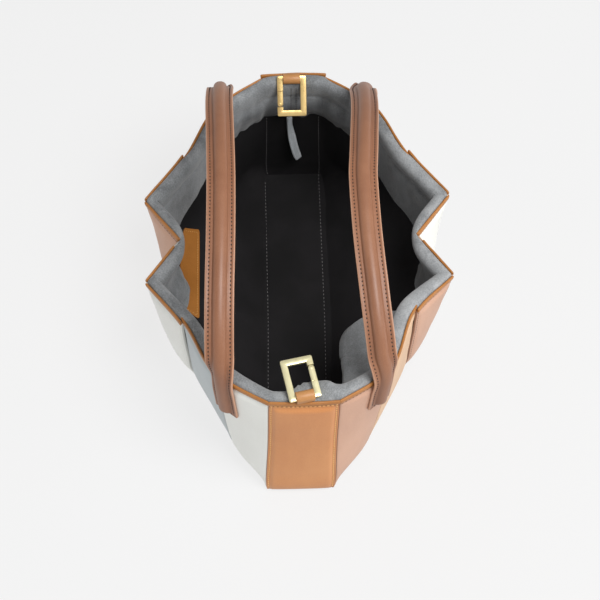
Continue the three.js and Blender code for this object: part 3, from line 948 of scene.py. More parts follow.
    def directions(self, strip: int, shares: Array, levels: Array) -> Array:
        """Find the outward directions of a strip, turned to the mitre close to its ribs.

        Args:
            strip: Number of the strip.
            shares: Places across it.
            levels: Shares of the height.

        Returns:
            A vector for each place.
        """
        width = self.widths(strip, levels)
        start = 1 - ramp(shares * width, 0, self.mitre_reach)
        end = 1 - ramp((1 - shares) * width, 0, self.mitre_reach)
        total = np.maximum(start + end, 1.0)
        start, end = start / total, end / total
        result = self.normals(strip, shares, levels) * (1 - start - end)[..., None]
        for rib, share in zip(self.strip_ribs(strip), (start, end)):
            close = share > 0
            if close.any():
                result[close] += self.mitre(rib, levels[close]) * share[close][:, None]
        return result

    def wall(self, strip: int, shares: Array, levels: Array, offset: Array | float) -> Array:
        """Find points at a way out of a strip's face, or in where it is below zero."""
        away = np.broadcast_to(offset, levels.shape)[..., None]
        return self.face(strip, shares, levels) + self.directions(strip, shares, levels) * away

    def lift(self, strip: int, shares: Array, levels: Array) -> Array:
        """Find how far a tip strip stands over the middle strip beside it, and how far the far end leans.

        Args:
            strip: Number of the strip.
            shares: Places across it.
            levels: Shares of the height.

        Returns:
            A way out for each place.
        """
        if strip == self.far_end:
            return self.far_lean * ramp(levels, self.lean_level, 1.0)
        if self.kinds(strip) != {Rib.STEP, Rib.TIP}:
            return np.zeros(levels.shape)
        starts_at_step = self.ribs[strip][0] is Rib.STEP
        towards = 1 - shares if starts_at_step else shares
        return self.step_lift * levels * np.clip(towards, 0, 1)

    def raised(self, strip: int, shares: Array, levels: Array) -> Array:
        """Find how far the far end's top stands up over the rim beside it, the same at all shares across."""
        rise = self.far_rise * ramp(levels, self.rise_level, 1.0) * (strip == self.far_end)
        return np.broadcast_to(rise, shares.shape)

    def loop(self, per_strip: int) -> list[tuple[int, Array]]:
        """List the strips with even shares across each, for a line right round the bag."""
        shares = np.arange(per_strip) / per_strip
        return [(strip, shares) for strip in range(self.count)]


class Edges(Enum):
    """How the long sides of a strip are made."""

    PANEL = "panel"
    SEWN = "sewn"
    TUCKED = "tucked"


@dataclass
class LeatherStrips:
    """The padded leather strips that stand round the bag, and the turned binding on each."""

    form: Outline
    thickness: float = 2.6
    gap: float = 0.3
    binding_drop: float = 4.3
    stitch_drop: float = 7.0
    seam_way: float = 2.5
    crown: float = 0.8
    behind: float = 4.5
    bare_apex: float = 9.0
    bare_tip: float = 2.2
    names: tuple[str, ...] = ("corner", "middle", "tip", "pleat")
    panel_edge: Table = (
        (0, -0.7), (0.3, -0.1), (0.7, 0.2), (1.5, 0.28), (2.0, 0.02), (2.5, -0.18), (3.0, 0.02),
        (3.7, 0.25), (4.3, 0.4), (4.9, 1.0), (5.8, 1.75), (7.2, 2.2), (9.0, 2.4),
    )
    sewn_edge: Table = (
        (0, -0.9), (0.3, -0.3), (0.7, 0.0), (1.5, 0.1), (2.0, -0.1), (2.5, -0.26), (3.0, -0.1),
        (3.7, 0.1), (4.4, 0.4), (5.4, 0.95), (6.4, 1.25), (7.6, 1.4), (9.0, 1.5),
    )
    tucked_edge: Table = (
        (0, -1.0), (0.3, -0.55), (0.7, -0.25), (1.5, 0.05), (2.0, 0.18), (2.5, 0.28), (3.0, 0.38),
        (3.7, 0.48), (4.4, 0.58), (5.4, 0.7), (6.4, 0.8), (7.6, 0.88), (9.0, 0.95),
    )
    binding_section: Table = (
        (0.6, 5.1), (0.92, 4.6), (1.02, 3.4), (0.98, 1.9), (0.78, 0.9), (0.35, 0.28), (-0.25, 0.05),
        (-0.9, 0.2), (-1.4, 0.75), (-1.6, 1.8), (-1.6, 4.1), (0.0, 4.3),
    )
    top_drops: tuple[float, ...] = (4.35, 4.9, 5.6, 6.4, 7.0, 7.6, 8.4, 9.4, 10.8, 12.6, 15.0, 18.0, 21.5)
    low_rises: tuple[float, ...] = (0.0, 0.5, 1.2, 2.2, 3.6, 5.6, 8.5)
    middle_rows: int = 36
    inner_columns: int = 13
    margin_share: float = 0.38
    behind_levels: Pair = (0.86, 0.97)
    pad_from: float = 0.8
    pad_full: float = 6.5
    pad_foot: Pair = (-4.0, 9.0)
    crown_ways: Pair = (5.0, 16.0)
    flat_height: float = 0.2
    dip: float = 0.3
    dip_width: float = 0.8
    gather: float = 0.8
    gather_cells: Triple = (0.09, 0.09, 0.0)
    crease: float = 0.24
    crease_cells: Triple = (0.018, 0.018, 0.06)
    foot_ease: float = 1.6
    panel_foot_ease: float = 0.5
    foot_ways: Pair = (-0.4, 3.2)
    groove: float = 0.6
    side_dark: float = 0.35
    side_dark_width: float = 0.8
    # Painted shade in the sewn grooves and below an end panel's binding.
    stitch_groove_painted_shade: float = 0.45
    seam_groove_painted_shade: float = 0.55
    binding_painted_shade: float = 0.4
    binding_painted_shade_width: float = 4.5
    binding_close: tuple[float, ...] = (0.1, 0.4, 0.9, 1.6)
    binding_clear: float = 2.6
    binding_stations: int = 26
    pinch_ways: Pair = (-0.4, 1.2)
    pinch: Pair = (0.3, 0.4)
    binding_wave: Pair = (0.2, 0.3)
    binding_cells: float = 0.06
    sewing: Sewing = field(default_factory=lambda: Sewing(
        "strip_stitches", Finishes.TAN_THREAD, length=2.6, pitch=3.8, radius=0.56, sink=-0.1
    ))
    white_sewing: Sewing = field(default_factory=lambda: Sewing(
        "white_strip_stitches", Finishes.WHITE_THREAD, length=2.3, pitch=3.8, radius=0.44
    ))
    brown_sewing: Sewing = field(default_factory=lambda: Sewing(
        "brown_strip_stitches", Finishes.BROWN_THREAD, length=2.2, pitch=3.8, radius=0.5
    ))

    def plan(self) -> list[tuple[str, Leather, Edges]]:
        """List the strips in order: name, leather and how the long sides are made."""
        white = (Finishes.WHITE, Finishes.GREY, Finishes.WHITE, Finishes.WHITE)
        brown = (Finishes.BROWN, Finishes.LIGHT_TAN, Finishes.BROWN, Finishes.BROWN)
        mixed = (Finishes.BROWN, Finishes.LIGHT_TAN, Finishes.BROWN, Finishes.LIGHT_TAN)
        sides = (
            ("right", (("near", mixed), ("far", white)), "end_far"),
            ("left", (("far", brown), ("near", white)), "end_near"),
        )
        rows: list[tuple[str, Leather, Edges]] = []
        for side, halves, end in sides:
            for turn, (half, leathers) in enumerate(halves):
                order = list(zip(self.names, leathers))
                for name, leather in order if turn == 0 else reversed(order):
                    edges = Edges.SEWN if name == "tip" else Edges.TUCKED
                    rows.append((f"{side}_{half}_{name}", leather, edges))
            rows.append((end, Finishes.TAN, Edges.PANEL))
        return rows

    def edge_table(self, edges: Edges) -> Array:
        """Way in from a long side and height over the wall there, for one make of side."""
        return np.array(getattr(self, f"{edges.value}_edge"))

    def reach(self, strip: int, levels: Array) -> Arrays:
        """Find how far a middle strip runs on behind the tip strip, at its first and second side.

        Args:
            strip: Number of the strip.
            levels: Shares of the height.

        Returns:
            Two ways for each level.
        """
        kinds = [self.form.ribs[rib][0] for rib in self.form.strip_ribs(strip)]
        hidden = self.behind * ramp(levels, *self.behind_levels)
        none = np.zeros(levels.shape)
        if kinds == [Rib.SEAM, Rib.STEP]:
            return none, hidden
        if kinds == [Rib.STEP, Rib.SEAM]:
            return hidden, none
        return none, none

    def columns(self, strip: int, levels: Array, edge: Array) -> Arrays:
        """Place the columns of a strip's grid.

        Args:
            strip: Number of the strip.
            levels: Level of each row.
            edge: Ways in from a long side, rising.

        Returns:
            Shares across and ways in from the nearest long side, column by row.
        """
        plain = self.form.widths(strip, levels) - self.gap
        before, after = self.reach(strip, levels)
        width = plain + before + after
        margin = np.minimum(edge[-1], self.margin_share * width)
        near = edge[:, None] * (margin / edge[-1])[None]
        inner = margin + np.linspace(0, 1, self.inner_columns)[1:-1, None] * (width - 2 * margin)
        ways = np.concatenate([near, inner, width - near[::-1]], axis=0)
        shares = (ways - before + self.gap / 2) / (plain + self.gap)
        return shares, np.minimum(ways, width - ways) * (edge[-1] / margin)

    def levels(self, strip: int) -> Arrays:
        """Place the rows of a strip's grid: level and way below the rim, from the base up.

        Args:
            strip: Number of the strip.

        Returns:
            A level and a way for each row.
        """
        tall = self.form.low_rim(strip)
        top = self.top_drops
        low = np.array(self.low_rises)
        middle = np.linspace(top[-1], tall - low[-1], self.middle_rows)[1:-1]
        drops = np.concatenate([top, middle, tall - low[::-1]])[::-1]
        return 1 - drops / tall, drops

    def build_strip(self, strip: int, name: str, leather: Leather, edges: Edges) -> None:
        """Make one strip with its pad, margins and stitches.

        Args:
            strip: Number of the strip round the bag.
            name: Its name after the word strip.
            leather: Its leather.
            edges: How its long sides are made.
        """
        table = self.edge_table(edges)
        levels, drops = self.levels(strip)
        shares, ways = self.columns(strip, levels, table[:, 0])
        heights = np.interp(ways, table[:, 0], table[:, 1])
        grid_levels = np.broadcast_to(levels, shares.shape)
        grid_drops = np.broadcast_to(drops, shares.shape)
        above = levels * self.form.low_rim(strip)
        face = self.form.face(strip, shares, grid_levels)
        gathers = self.gather * ripple(face * np.array(self.gather_cells), strip * 7.1)
        rise = ramp(grid_drops - gathers, self.stitch_drop + self.pad_from, self.stitch_drop + self.pad_full)
        ground = ramp(above, *self.pad_foot)
        crowned = heights + self.crown * 4 * shares * (1 - shares) * ramp(ways, *self.crown_ways)
        flat = np.minimum(heights, self.flat_height)
        height = flat + (crowned - flat) * rise * ground
        height -= self.dip * np.exp(-((grid_drops - self.stitch_drop) / self.dip_width) ** 2)
        ease = self.panel_foot_ease if edges is Edges.PANEL else self.foot_ease
        height -= ease * (1 - ramp(above, *self.foot_ways))
        creases = ripple(face * np.array(self.crease_cells), strip * 3.3 + 50)
        height += self.crease * creases * rise
        lift = self.form.lift(strip, shares, grid_levels)
        front = self.form.wall(strip, shares, grid_levels, height + lift)
        back = self.form.wall(strip, shares, grid_levels, lift - self.thickness)
        # Mark: cut edge colour along the sides, painted shade in the grooves and below a panel's binding.
        shell = Shell().slab(front, back, rim_mark=0.7, mark=self.cut_edges_and_painted_shade(ways, grid_drops, edges))
        piece = shell.piece(f"{name}_strip", leather, [f"strip_{name}"])
        others = {Finishes.WHITE: self.white_sewing, Finishes.GREY: self.white_sewing}
        others[Finishes.BROWN] = self.brown_sewing
        self.sew(others.get(leather, self.sewing), front, table[:, 0], drops, edges)

    def cut_edges_and_painted_shade(self, ways: Array, drops: Array, edges: Edges) -> Array:
        """Find where a strip takes its cut edge's colour along its sides, and painted shade in its sewn
        grooves and under a panel's binding.

        Args:
            ways: Ways in from the nearest long side.
            drops: Ways below the rim.
            edges: How the long sides are made.

        Returns:
            The share of the cut edge's colour at each point, painted shade except along the sides.
        """
        mark = self.side_dark * np.exp(-ways / self.side_dark_width)
        # Painted shade in the sewn grooves and below a panel's binding; only the darkening along the sides
        # is the cut edge.
        mark = mark + self.stitch_groove_painted_shade * np.exp(-((drops - self.stitch_drop) / self.groove) ** 2)
        if edges is not Edges.TUCKED:
            mark = mark + self.seam_groove_painted_shade * np.exp(-((ways - self.seam_way) / self.groove) ** 2)
        if edges is Edges.PANEL:
            below = (drops - self.binding_drop) / self.binding_painted_shade_width
            mark = mark + self.binding_painted_shade * np.exp(-below ** 2)
        return np.minimum(mark, 1.0)

    def sew(self, sewing: Sewing, front: Array, ways: Array, drops: Array, edges: Edges) -> None:
        """Sew the row under the binding, and the two long rows of a strip with sewn sides.

        Args:
            sewing: The thread and its stitches.
            front: Grid of the strip's outer face.
            ways: Ways in from a long side of the outer columns.
            drops: Way below the rim of each row.
            edges: How its long sides are made.
        """
        out = grid_normals(front)
        top = int(np.argmin(np.abs(drops - self.stitch_drop)))
        sewing.row(front[2:-2, top], out[2:-2, top])
        if edges is Edges.TUCKED:
            return
        column = int(np.argmin(np.abs(ways - self.seam_way)))
        for side in (column, front.shape[0] - 1 - column):
            sewing.row(front[side, 4:top], out[side, 4:top])

    def binding_ways(self, strip: int, width: float) -> Array:
        """Place the sections of a strip's binding along its rim, from one end to the other.

        Args:
            strip: Number of the strip.
            width: Way across the strip at its rim.

        Returns:
            Ways from the first rib, closer together at the ends.
        """
        before, after = (float(way) for way in self.reach(strip, np.array(1.0)))
        start, end = -before, width + after
        first, second = (self.form.ribs[rib] for rib in self.form.strip_ribs(strip))
        if first[0] is Rib.APEX and second[:2] == (Rib.TIP, 1):
            start += self.bare_apex
        if second[0] is Rib.APEX and first[:2] == (Rib.TIP, 1):
            end -= self.bare_apex
        start += self.bare_tip * (first[0] is Rib.TIP)
        end -= self.bare_tip * (second[0] is Rib.TIP)
        close = np.array(self.binding_close)
        clear = self.binding_clear
        middle = np.linspace(start + clear, end - clear, self.binding_stations)
        return np.concatenate([start + close, middle, end - close[::-1]])

    def build_binding(self, strip: int, name: str) -> None:
        """Make the turned leather edge on top of a strip.

        Args:
            strip: Number of the strip.
            name: Name of the strip that it is on.
        """
        section = np.array(self.binding_section)
        width = float(self.form.widths(strip, np.array(1.0)))
        ways = self.binding_ways(strip, width)
        shares = np.broadcast_to((ways / width)[:, None], (len(ways), len(section)))
        levels = 1 - np.broadcast_to(section[:, 1] / self.form.low_rim(strip), shares.shape)
        ends = np.minimum(ways - ways[0], ways[-1] - ways)
        pinch = (1 - ramp(ends, *self.pinch_ways))[:, None]
        middle = section.mean(axis=0)
        offset = section[None, :, 0] + (middle[0] - section[None, :, 0]) * self.pinch[0] * pinch
        row = np.full(len(ways), strip * 5.7)
        wave = ripple(np.stack([ways * self.binding_cells, row, np.zeros(len(ways))], axis=1), 9.0)
        offset = offset + self.binding_wave[0] * wave[:, None] + self.form.lift(strip, shares, levels)
        rings = self.form.wall(strip, shares, levels, offset)
        bob = self.binding_wave[1] * wave - self.pinch[1] * pinch[:, 0]
        rings[..., 2] += bob[:, None] + self.form.raised(strip, shares, levels)
        shell = Shell().tube(rings)
        shell.piece(f"{name}_binding", Finishes.BINDING, [f"binding_{name}"], sharp=70.0)

    def build(self) -> None:
        """Make all strips, their bindings and the stitches in them."""
        for strip, (name, leather, edges) in enumerate(self.plan()):
            self.build_strip(strip, name, leather, edges)
            self.build_binding(strip, name)
        self.sewing.piece()
        self.white_sewing.piece()
        self.brown_sewing.piece()


@dataclass(frozen=True)
class Fold:
    """The facing at one rib: depth of its rim roll, level of its lower edge, and stand-off there."""

    roll: float
    edge: float
    hang: float = 0.0


@dataclass
class SuedeFacing:
    """The soft suede band inside the rim, with its roll, its slack and its seams."""

    form: Outline
    per_strip: int = 24
    apron_rows: int = 30
    thickness: float = 1.4
    contact: float = 1.75
    wall_inset: float = 4.6
    roll_base: float = 2.8
    bead_drop: float = 24.0
    pouch_seam: float = 1.08
    far_belly: float = 4.0
    far_belly_wave: float = 1.5
    far_span: Pair = (0.7, 0.95)
    near_span: Pair = (0.75, 0.98)
    near_lump: float = 9.0
    lump_across: float = 13.0
    lump_half: float = 23.0
    gather: float = 1.3
    gather_half: float = 9.0
    gather_pitch: float = 6.4
    fold_height: float = 0.6
    far_folds: float = 2.6
    near_folds: float = 0.8
    rim_wave: float = 0.35
    seam_dip: float = 0.9
    edge_wave: float = 0.008
    far_edge_wave: float = 0.014
    edge_wave_cells: float = 7.5
    fold_reach: float = 0.2
    slack_reach: float = 0.06
    # Softening of the painted light and shade round the rim, and patchiness and noise cells of the painted
    # shade.
    painted_light_and_shade_reach: float = 0.3
    painted_shade_patch: float = 0.16
    painted_shade_cells: Triple = (0.03, 0.05, 0.02)
    step_reach: float = 2.0
    rise_rows: tuple[int, int] = (20, 9)
    close_reach: float = 1.6
    wide_reach: float = 6.0
    apex_reach: float = 12.0
    folds: tuple[Fold, ...] = (
        Fold(12, 0.62), Fold(9, 0.58), Fold(13, 0.50), Fold(8, 0.41), Fold(11, 0.40, 2), Fold(8, 0.43),
        Fold(7, 0.47), Fold(7, 0.54), Fold(6, 0.65), Fold(6, 0.65), Fold(6, 0.62), Fold(6, 0.57),
        Fold(7, 0.46, 3), Fold(11, 0.385, 11), Fold(8, 0.375, 9), Fold(8, 0.48, 4), Fold(12, 0.58),
        Fold(10, 0.62),
    )
    slack: Table = (
        (0, 8), (0.3, 14), (0.42, 22), (0.5, 28), (0.67, 39), (0.83, 46), (1, 47), (1.17, 48), (1.33, 52),
        (1.5, 55), (1.67, 56), (1.75, 54), (1.83, 51), (1.92, 45), (2, 34), (2.1, 16), (2.22, 4), (2.4, 2),
        (6, 2), (8, 3), (10, 3), (12, 2), (14, 3), (15, 4), (16, 14), (17, 5), (18, 8),
    )
    bead: Table = (
        (24.0, 0.52), (20.5, 0.70), (17.0, 0.84), (13.5, 0.94), (10.5, 0.985), (8.0, 1.0), (5.5, 0.975),
        (3.4, 0.91), (1.7, 0.81), (0.5, 0.69), (-0.3, 0.56), (-0.7, 0.42), (-0.75, 0.29), (-0.4, 0.17),
        (0.3, 0.08), (1.3, 0.02), (2.6, 0.0), (4.1, 0.0),
    )
    slack_way: Table = (
        (0.0, 0.0), (0.12, 0.32), (0.22, 0.6), (0.36, 0.9), (0.48, 1.0), (0.58, 0.9), (0.68, 0.56),
        (0.76, 0.2), (0.84, 0.04), (0.9, 0.0), (1.0, 0.0),
    )
    # Painted light on the roll's crest, by place round the rim in strips.
    painted_roll_light: Table = (
        (0, 0.3), (1, 0.35), (2, 0.4), (4, 0.38), (6, 0.25), (8, 0.1), (12, 0.1), (14, 0.2), (16, 0.15),
        (18, 0.3),
    )
    # Painted shade low on the facing, by place round the rim in strips, strongest at the far end.
    painted_low_shade: Table = (
        (0, 0.1), (1, 0.3), (2, 0.1), (3, 0.2), (4.5, 0.25), (5, 0.4), (7, 0.45), (7.8, 0.65), (8.5, 0.8),
        (9.3, 0.75), (10, 0.4), (11, 0.15), (12, 0.05), (17, 0.05), (18, 0.1),
    )
    sewing: Sewing = field(default_factory=lambda: Sewing(
        "facing_stitches", Finishes.DARK_THREAD_AND_PAINTED_SHADE, length=1.4, pitch=2.6, radius=0.46
    ))

    def round_rim(self, places: Sequence[float], values: Sequence[float], reach: float) -> Array:
        """Read a table by place in strips at each column round the bag, softened over a reach in strips."""
        at = np.arange(self.form.count * self.per_strip) / self.per_strip
        return soften(np.interp(at, places, values), self.per_strip * reach)

    def folds_round(self) -> Array:
        """Read roll, edge, stand-off and slack at each column round the bag, softened across the ribs."""
        ribs = np.arange(self.form.count + 1)
        table = np.array([(fold.roll, fold.edge, fold.hang) for fold in self.folds + self.folds[:1]])
        rows = [self.round_rim(ribs, table[:, part], self.fold_reach) for part in range(3)]
        rows.append(self.round_rim(*np.array(self.slack).T, self.slack_reach))
        return np.stack(rows, axis=1)

    def steps_round(self, read: Callable[[int, Array, Array], Array]) -> Array:
        """Read a move of the rim at each column, softened so that the suede bridges the steps.

        Args:
            read: Gives the move by strip, shares and levels.

        Returns:
            A move for each column.
        """
        rim = np.ones(self.per_strip)
        blocks = [read(strip, shares, rim) for strip, shares in self.form.loop(self.per_strip)]
        return soften(np.concatenate(blocks), self.step_reach)

    def waves(self, count: int) -> Array:
        """Find small waves of the lower edge, as shares of the height, at each column.

        Args:
            count: Number of columns.

        Returns:
            A share for each column.
        """
        turn = np.arange(count) / count * 2 * math.pi
        cells = self.edge_wave_cells
        ring = np.stack([np.cos(turn) * cells, np.sin(turn) * cells, np.zeros(count)], axis=1)
        far = turn - (self.form.far_end + 0.5) / self.form.count * 2 * math.pi
        return (self.edge_wave + self.far_edge_wave * ramp(np.cos(far), 0.75, 0.95)) * ripple(ring, 4.0)

    def rows_of(self, strip: int, shares: Array, folds: Array, lift: Array) -> Arrays:
        """Lay out the columns of one strip.

        Args:
            strip: Number of the strip.
            shares: Places across it.
            folds: Roll, edge, stand-off and slack at each place.
            lift: How far the rim stands out at each place.

        Returns:
            Points, column by row from the lower edge over the roll to the binding, and the slack's way.
        """
        roll, edge, hang, slack = (folds[:, part, None] for part in range(4))
        tall = self.form.face(strip, shares, np.ones(len(shares)))[:, 2:]
        bead = np.array(self.bead)
        fall = np.linspace(1, 0, self.apron_rows, endpoint=False)[None]
        bead_foot = 1 - self.bead_drop / tall
        levels = np.concatenate([bead_foot + (edge - bead_foot) * fall, 1 - bead[None, :, 0] / tall], axis=1)
        depth = roll + self.roll_base
        foot = self.contact + depth * bead[0, 1]
        apron = self.wall_inset + hang * ramp(fall, 0.2, 0.8)
        apron = foot + (apron - foot) * ramp(fall, -0.1, 0.55)
        inset = np.concatenate([apron, self.contact + depth * bead[None, :, 1]], axis=1)
        outwards = lift[:, None] * np.concatenate([0 * fall[0], (1 - bead[:, 1]) ** 1.2])[None]
        across = np.broadcast_to(shares[:, None], levels.shape)
        points = self.form.wall(strip, across, np.minimum(levels, 1.0), outwards - inset)
        points[..., 2] += np.maximum(levels - 1.0, 0.0) * tall
        up = (levels - edge) / (1 - edge)
        table = np.array(self.slack_way)
        way = slack * np.interp(up, table[:, 0], table[:, 1])
        flat = self.form.directions(strip, across, np.minimum(levels, 1.0)) * np.array([1.0, 1.0, 0.0])
        return points, -flat * way[..., None]

    def grid(self) -> Array:
        """Lay out the facing's inner face, column by row from the lower edge over the roll."""
        folds = self.folds_round()
        folds[:, 1] += self.waves(len(folds))
        lifts = self.steps_round(self.form.lift)
        blocks = []
        slacks = []
        for strip, shares in self.form.loop(self.per_strip):
            rows = slice(strip * self.per_strip, (strip + 1) * self.per_strip)
            points, slack = self.rows_of(strip, shares, folds[rows], lifts[rows])
            blocks.append(points)
            slacks.append(slack)
        points = np.concatenate(blocks)
        number = np.arange(len(points))
        round_at = np.zeros(len(points))
        for rib, (kind, _, _) in enumerate(self.form.ribs):
            if kind is Rib.APEX:
                round_at += np.exp(-((number - rib * self.per_strip) / self.apex_reach) ** 2)
        share = np.concatenate([np.linspace(0.3, 0.7, self.apron_rows), np.array(self.bead)[:, 1] ** 0.5])
        share = share[None, :, None]
        close = points * (1 - share) + soften(points, self.close_reach) * share
        wide = points * (1 - share) + soften(points, self.wide_reach) * share
        points = close + (wide - close) * round_at[:, None, None]
        rows = np.arange(points.shape[1])
        rises = self.steps_round(self.form.raised)
        points[..., 2] += rises[:, None] * ramp(rows, self.rise_rows[0], self.apron_rows + self.rise_rows[1])
        return points + soften(np.concatenate(slacks), self.per_strip * self.slack_reach)

    def wrinkles(self, points: Array) -> Array:
        """Find how far folds and gathers push each point of the facing inwards.

        Args:
            points: Grid of the facing.

        Returns:
            A way inwards for each point.
        """
        steps = np.linalg.norm(np.diff(points[:, -1], axis=0, append=points[:1, -1]), axis=1)
        way = np.cumsum(steps)[:, None]
        up = np.linspace(0, 1, points.shape[1])[None]
        along = points[:, -1, 0] / self.form.sections[-1].corner[0]
        far = ramp(-along, *self.far_span)
        near = ramp(along, *self.near_span)

        def waves(long: float, turns: float, seed: float) -> Array:
            """Read waves of a length along the rim and a number of turns up the facing."""
            return ripple(np.stack(np.broadcast_arrays(way / long, up * turns, seed), axis=-1), seed)

        apron = ramp(up, -0.1, 0.15) * (1 - ramp(up, 0.55, 0.8))
        depth = (self.fold_height + self.far_folds * far + self.near_folds * near)[:, None]
        folds = depth * (waves(15.0, 2.4, 2.0) + 0.4 * waves(7.0, 3.4, 8.0))
        across = points[:, -1, 1] - 1.0
        pleats = np.cos(across * 2 * math.pi / self.gather_pitch)
        gather = near * np.exp(-(across / self.gather_half) ** 2) * pleats
        lump = near * np.exp(-((across - self.lump_across) / self.lump_half) ** 4)
        bead = ramp(up, 0.4, 0.68) * (1 - ramp(up, 0.76, 0.9))
        soft = ramp(up, 0.4, 0.6) * (1 - ramp(up, 0.9, 1.0))
        turned = np.sin(math.pi * np.clip(up / 0.6, 0, 1)) ** 1.5
        belly = far[:, None] * turned * (self.far_belly + self.far_belly_wave * waves(24.0, 0.8, 12.0))
        tucks = (self.near_lump * lump + self.gather * gather)[:, None] * bead
        return belly + folds * apron + tucks + self.rim_wave * waves(26.0, 1.5, 5.0) * soft

    def nap(self, points: Array) -> Array:
        """Find the painted light along the roll, above zero, and the painted shade low down, below zero.

        Args:
            points: Grid of the facing.

        Returns:
            A mark for each point.
        """
        crest = np.arange(len(self.bead)) / len(self.bead)
        roll = np.concatenate([np.zeros(self.apron_rows), ramp(crest, 0.1, 0.45)])
        patches = ripple(points * np.array(self.painted_shade_cells), 23.0)
        up = np.linspace(0, 1, points.shape[1])[None] + self.painted_shade_patch * patches
        light, dark = (
            self.round_rim(*np.array(table).T, self.painted_light_and_shade_reach)[:, None]
            for table in (self.painted_roll_light, self.painted_low_shade)
        )
        # Painted light over the roll's crest, minus painted shade on the lower facing.
        return light * roll - dark * (1 - ramp(up, 0.3, 0.72))

    def build(self) -> None:
        """Make the facing and the sewn rows that show on it."""
        points = self.grid()
        out = -grid_normals(points, True)
        face = points + out * self.wrinkles(points)[..., None]
        middle = self.form.far_end * self.per_strip + self.per_strip // 2
        face[middle] -= out[middle] * self.seam_dip
        out = -grid_normals(face, True)
        # The mark paints light along the roll and shade low down.
        shell = Shell().slab(face, face - out * self.thickness, closed=True, mark=self.nap(points))
        piece = shell.piece("rim_facing", Finishes.SUEDE, ["suede_facing"], sharp=80.0)
        last = self.apron_rows + 6
        for column in (middle - 1, middle + 1):
            self.sewing.row(face[column, 2:last], out[column, 2:last])
        pouch = int(self.pouch_seam * self.per_strip)
        self.sewing.row(face[pouch, 6:last - 8], out[pouch, 6:last - 8])
        self.sewing.piece()


@dataclass
class Lining:
    """The dark lining below the facing: its walls, its floor and the seams between them."""

    form: Outline
    facing: SuedeFacing
    per_strip: int = 16
    rows: int = 22
    inset: float = 5.0
    thickness: float = 1.2
    tuck: float = 0.02
    floor_height: float = 6.2
    foot_drop: float = 1.1
    loose: float = 0.7
    loose_cells: Triple = (0.02, 0.02, 0.03)
    row_power: float = 1.3
    seam_points: int = 60
    seam_foot: float = 0.035
    floor_points: tuple[int, int] = (110, 48)
    floor_wave: float = 0.4
    floor_cells: Triple = (0.016, 0.03, 0.0)
    seam_dip: float = 0.5
    floor_half: Pair = (188.6, 34.5)
    seams: Pair = (-32.0, 27.5)
    end_seams: Pair = (-30.5, 27.5)
    sewing: Sewing = field(default_factory=lambda: Sewing(
        "floor_stitches", Finishes.GREY_THREAD, length=2.4, pitch=4.6, radius=0.36
    ))

    def face(self, strip: int, shares: Array, levels: Array) -> Array:
        """Find points on the inner face of the lining's wall, which lies a little loose on the strips.

        Args:
            strip: Number of the strip.
            shares: Places across it.
            levels: Shares of the height.

        Returns:
            A point for each place.
        """
        plain = self.form.wall(strip, shares, levels, -self.inset)
        loose = self.loose * ripple(plain * np.array(self.loose_cells), 31.0)
        points = self.form.wall(strip, shares, levels, -self.inset - loose)
        points[..., 2] = np.maximum(points[..., 2], self.floor_height - self.foot_drop)
        return points

    def edge(self, strip: int, shares: Array) -> Array:
        """Find the level where the lining ends behind the facing, at places across a strip."""
        table = np.array([fold.edge for fold in self.facing.folds])
        return table[strip] * (1 - shares) + table[(strip + 1) % self.form.count] * shares + self.tuck

    def build_walls(self) -> None:
        """Make the lining of the walls, from the facing's lower edge to the floor."""
        blocks = []
        for strip, shares in self.form.loop(self.per_strip):
            down = np.linspace(0, 1, self.rows)[None] ** self.row_power
            levels = self.edge(strip, shares)[:, None] * down
            across = np.broadcast_to(shares[:, None], levels.shape)
            blocks.append(self.face(strip, across, levels))
        face = np.concatenate(blocks)
        back = face + grid_normals(face, True) * self.thickness
        back[..., 2] = np.maximum(back[..., 2], self.floor_height - self.thickness)
        shell = Shell().slab(face, back, closed=True)
        piece = shell.piece("lining_walls", Finishes.LINING, ["black_lining"], sharp=80.0)

    def sew_ends(self) -> None:
        """Carry the floor's two sewn rows up the lining of both end walls."""
        for strip, turn in ((self.form.far_end, -1), (self.form.count - 1, 1)):
            wide = float(self.form.widths(strip, np.array(0.2)))
            for seam in self.end_seams:
                share = 0.5 + turn * seam / wide
                top = float(self.edge(strip, np.array(share)))
                levels = np.linspace(self.seam_foot, top - self.tuck, self.seam_points)
                shares = np.full(self.seam_points, share)
                out = -self.form.normals(strip, shares, levels)
                self.sewing.row(self.face(strip, shares, levels), out)

    def build_floor(self) -> None:
        """Make the floor of the lining, with a sewn row along each side."""
        x, y = (np.linspace(-half, half, count) for half, count in zip(self.floor_half, self.floor_points))
        level = np.full((len(x), len(y)), self.floor_height)
        grid = np.stack(np.meshgrid(x, y, indexing="ij") + [level], axis=-1)
        grid[..., 2] += self.floor_wave * ripple(grid * np.array(self.floor_cells), 17.0)
        for seam in self.seams:
            grid[..., 2] -= self.seam_dip * np.exp(-(grid[..., 1] - seam) ** 2)
        grid[..., 1] -= self.form.sway(grid[..., 0])
        shell = Shell().slab(grid, grid - np.array([0, 0, self.thickness]))
        piece = shell.piece("lining_floor", Finishes.LINING)
        up = np.tile([0.0, 0.0, 1.0], (len(x), 1))
        for seam in self.seams:
            self.sewing.row(grid[:, int(np.argmin(np.abs(y - seam)))], up)

    def build(self) -> None:
        """Make the walls, the floor and their seams."""
        self.build_walls()
        self.build_floor()
        self.sew_ends()
        self.sewing.piece()


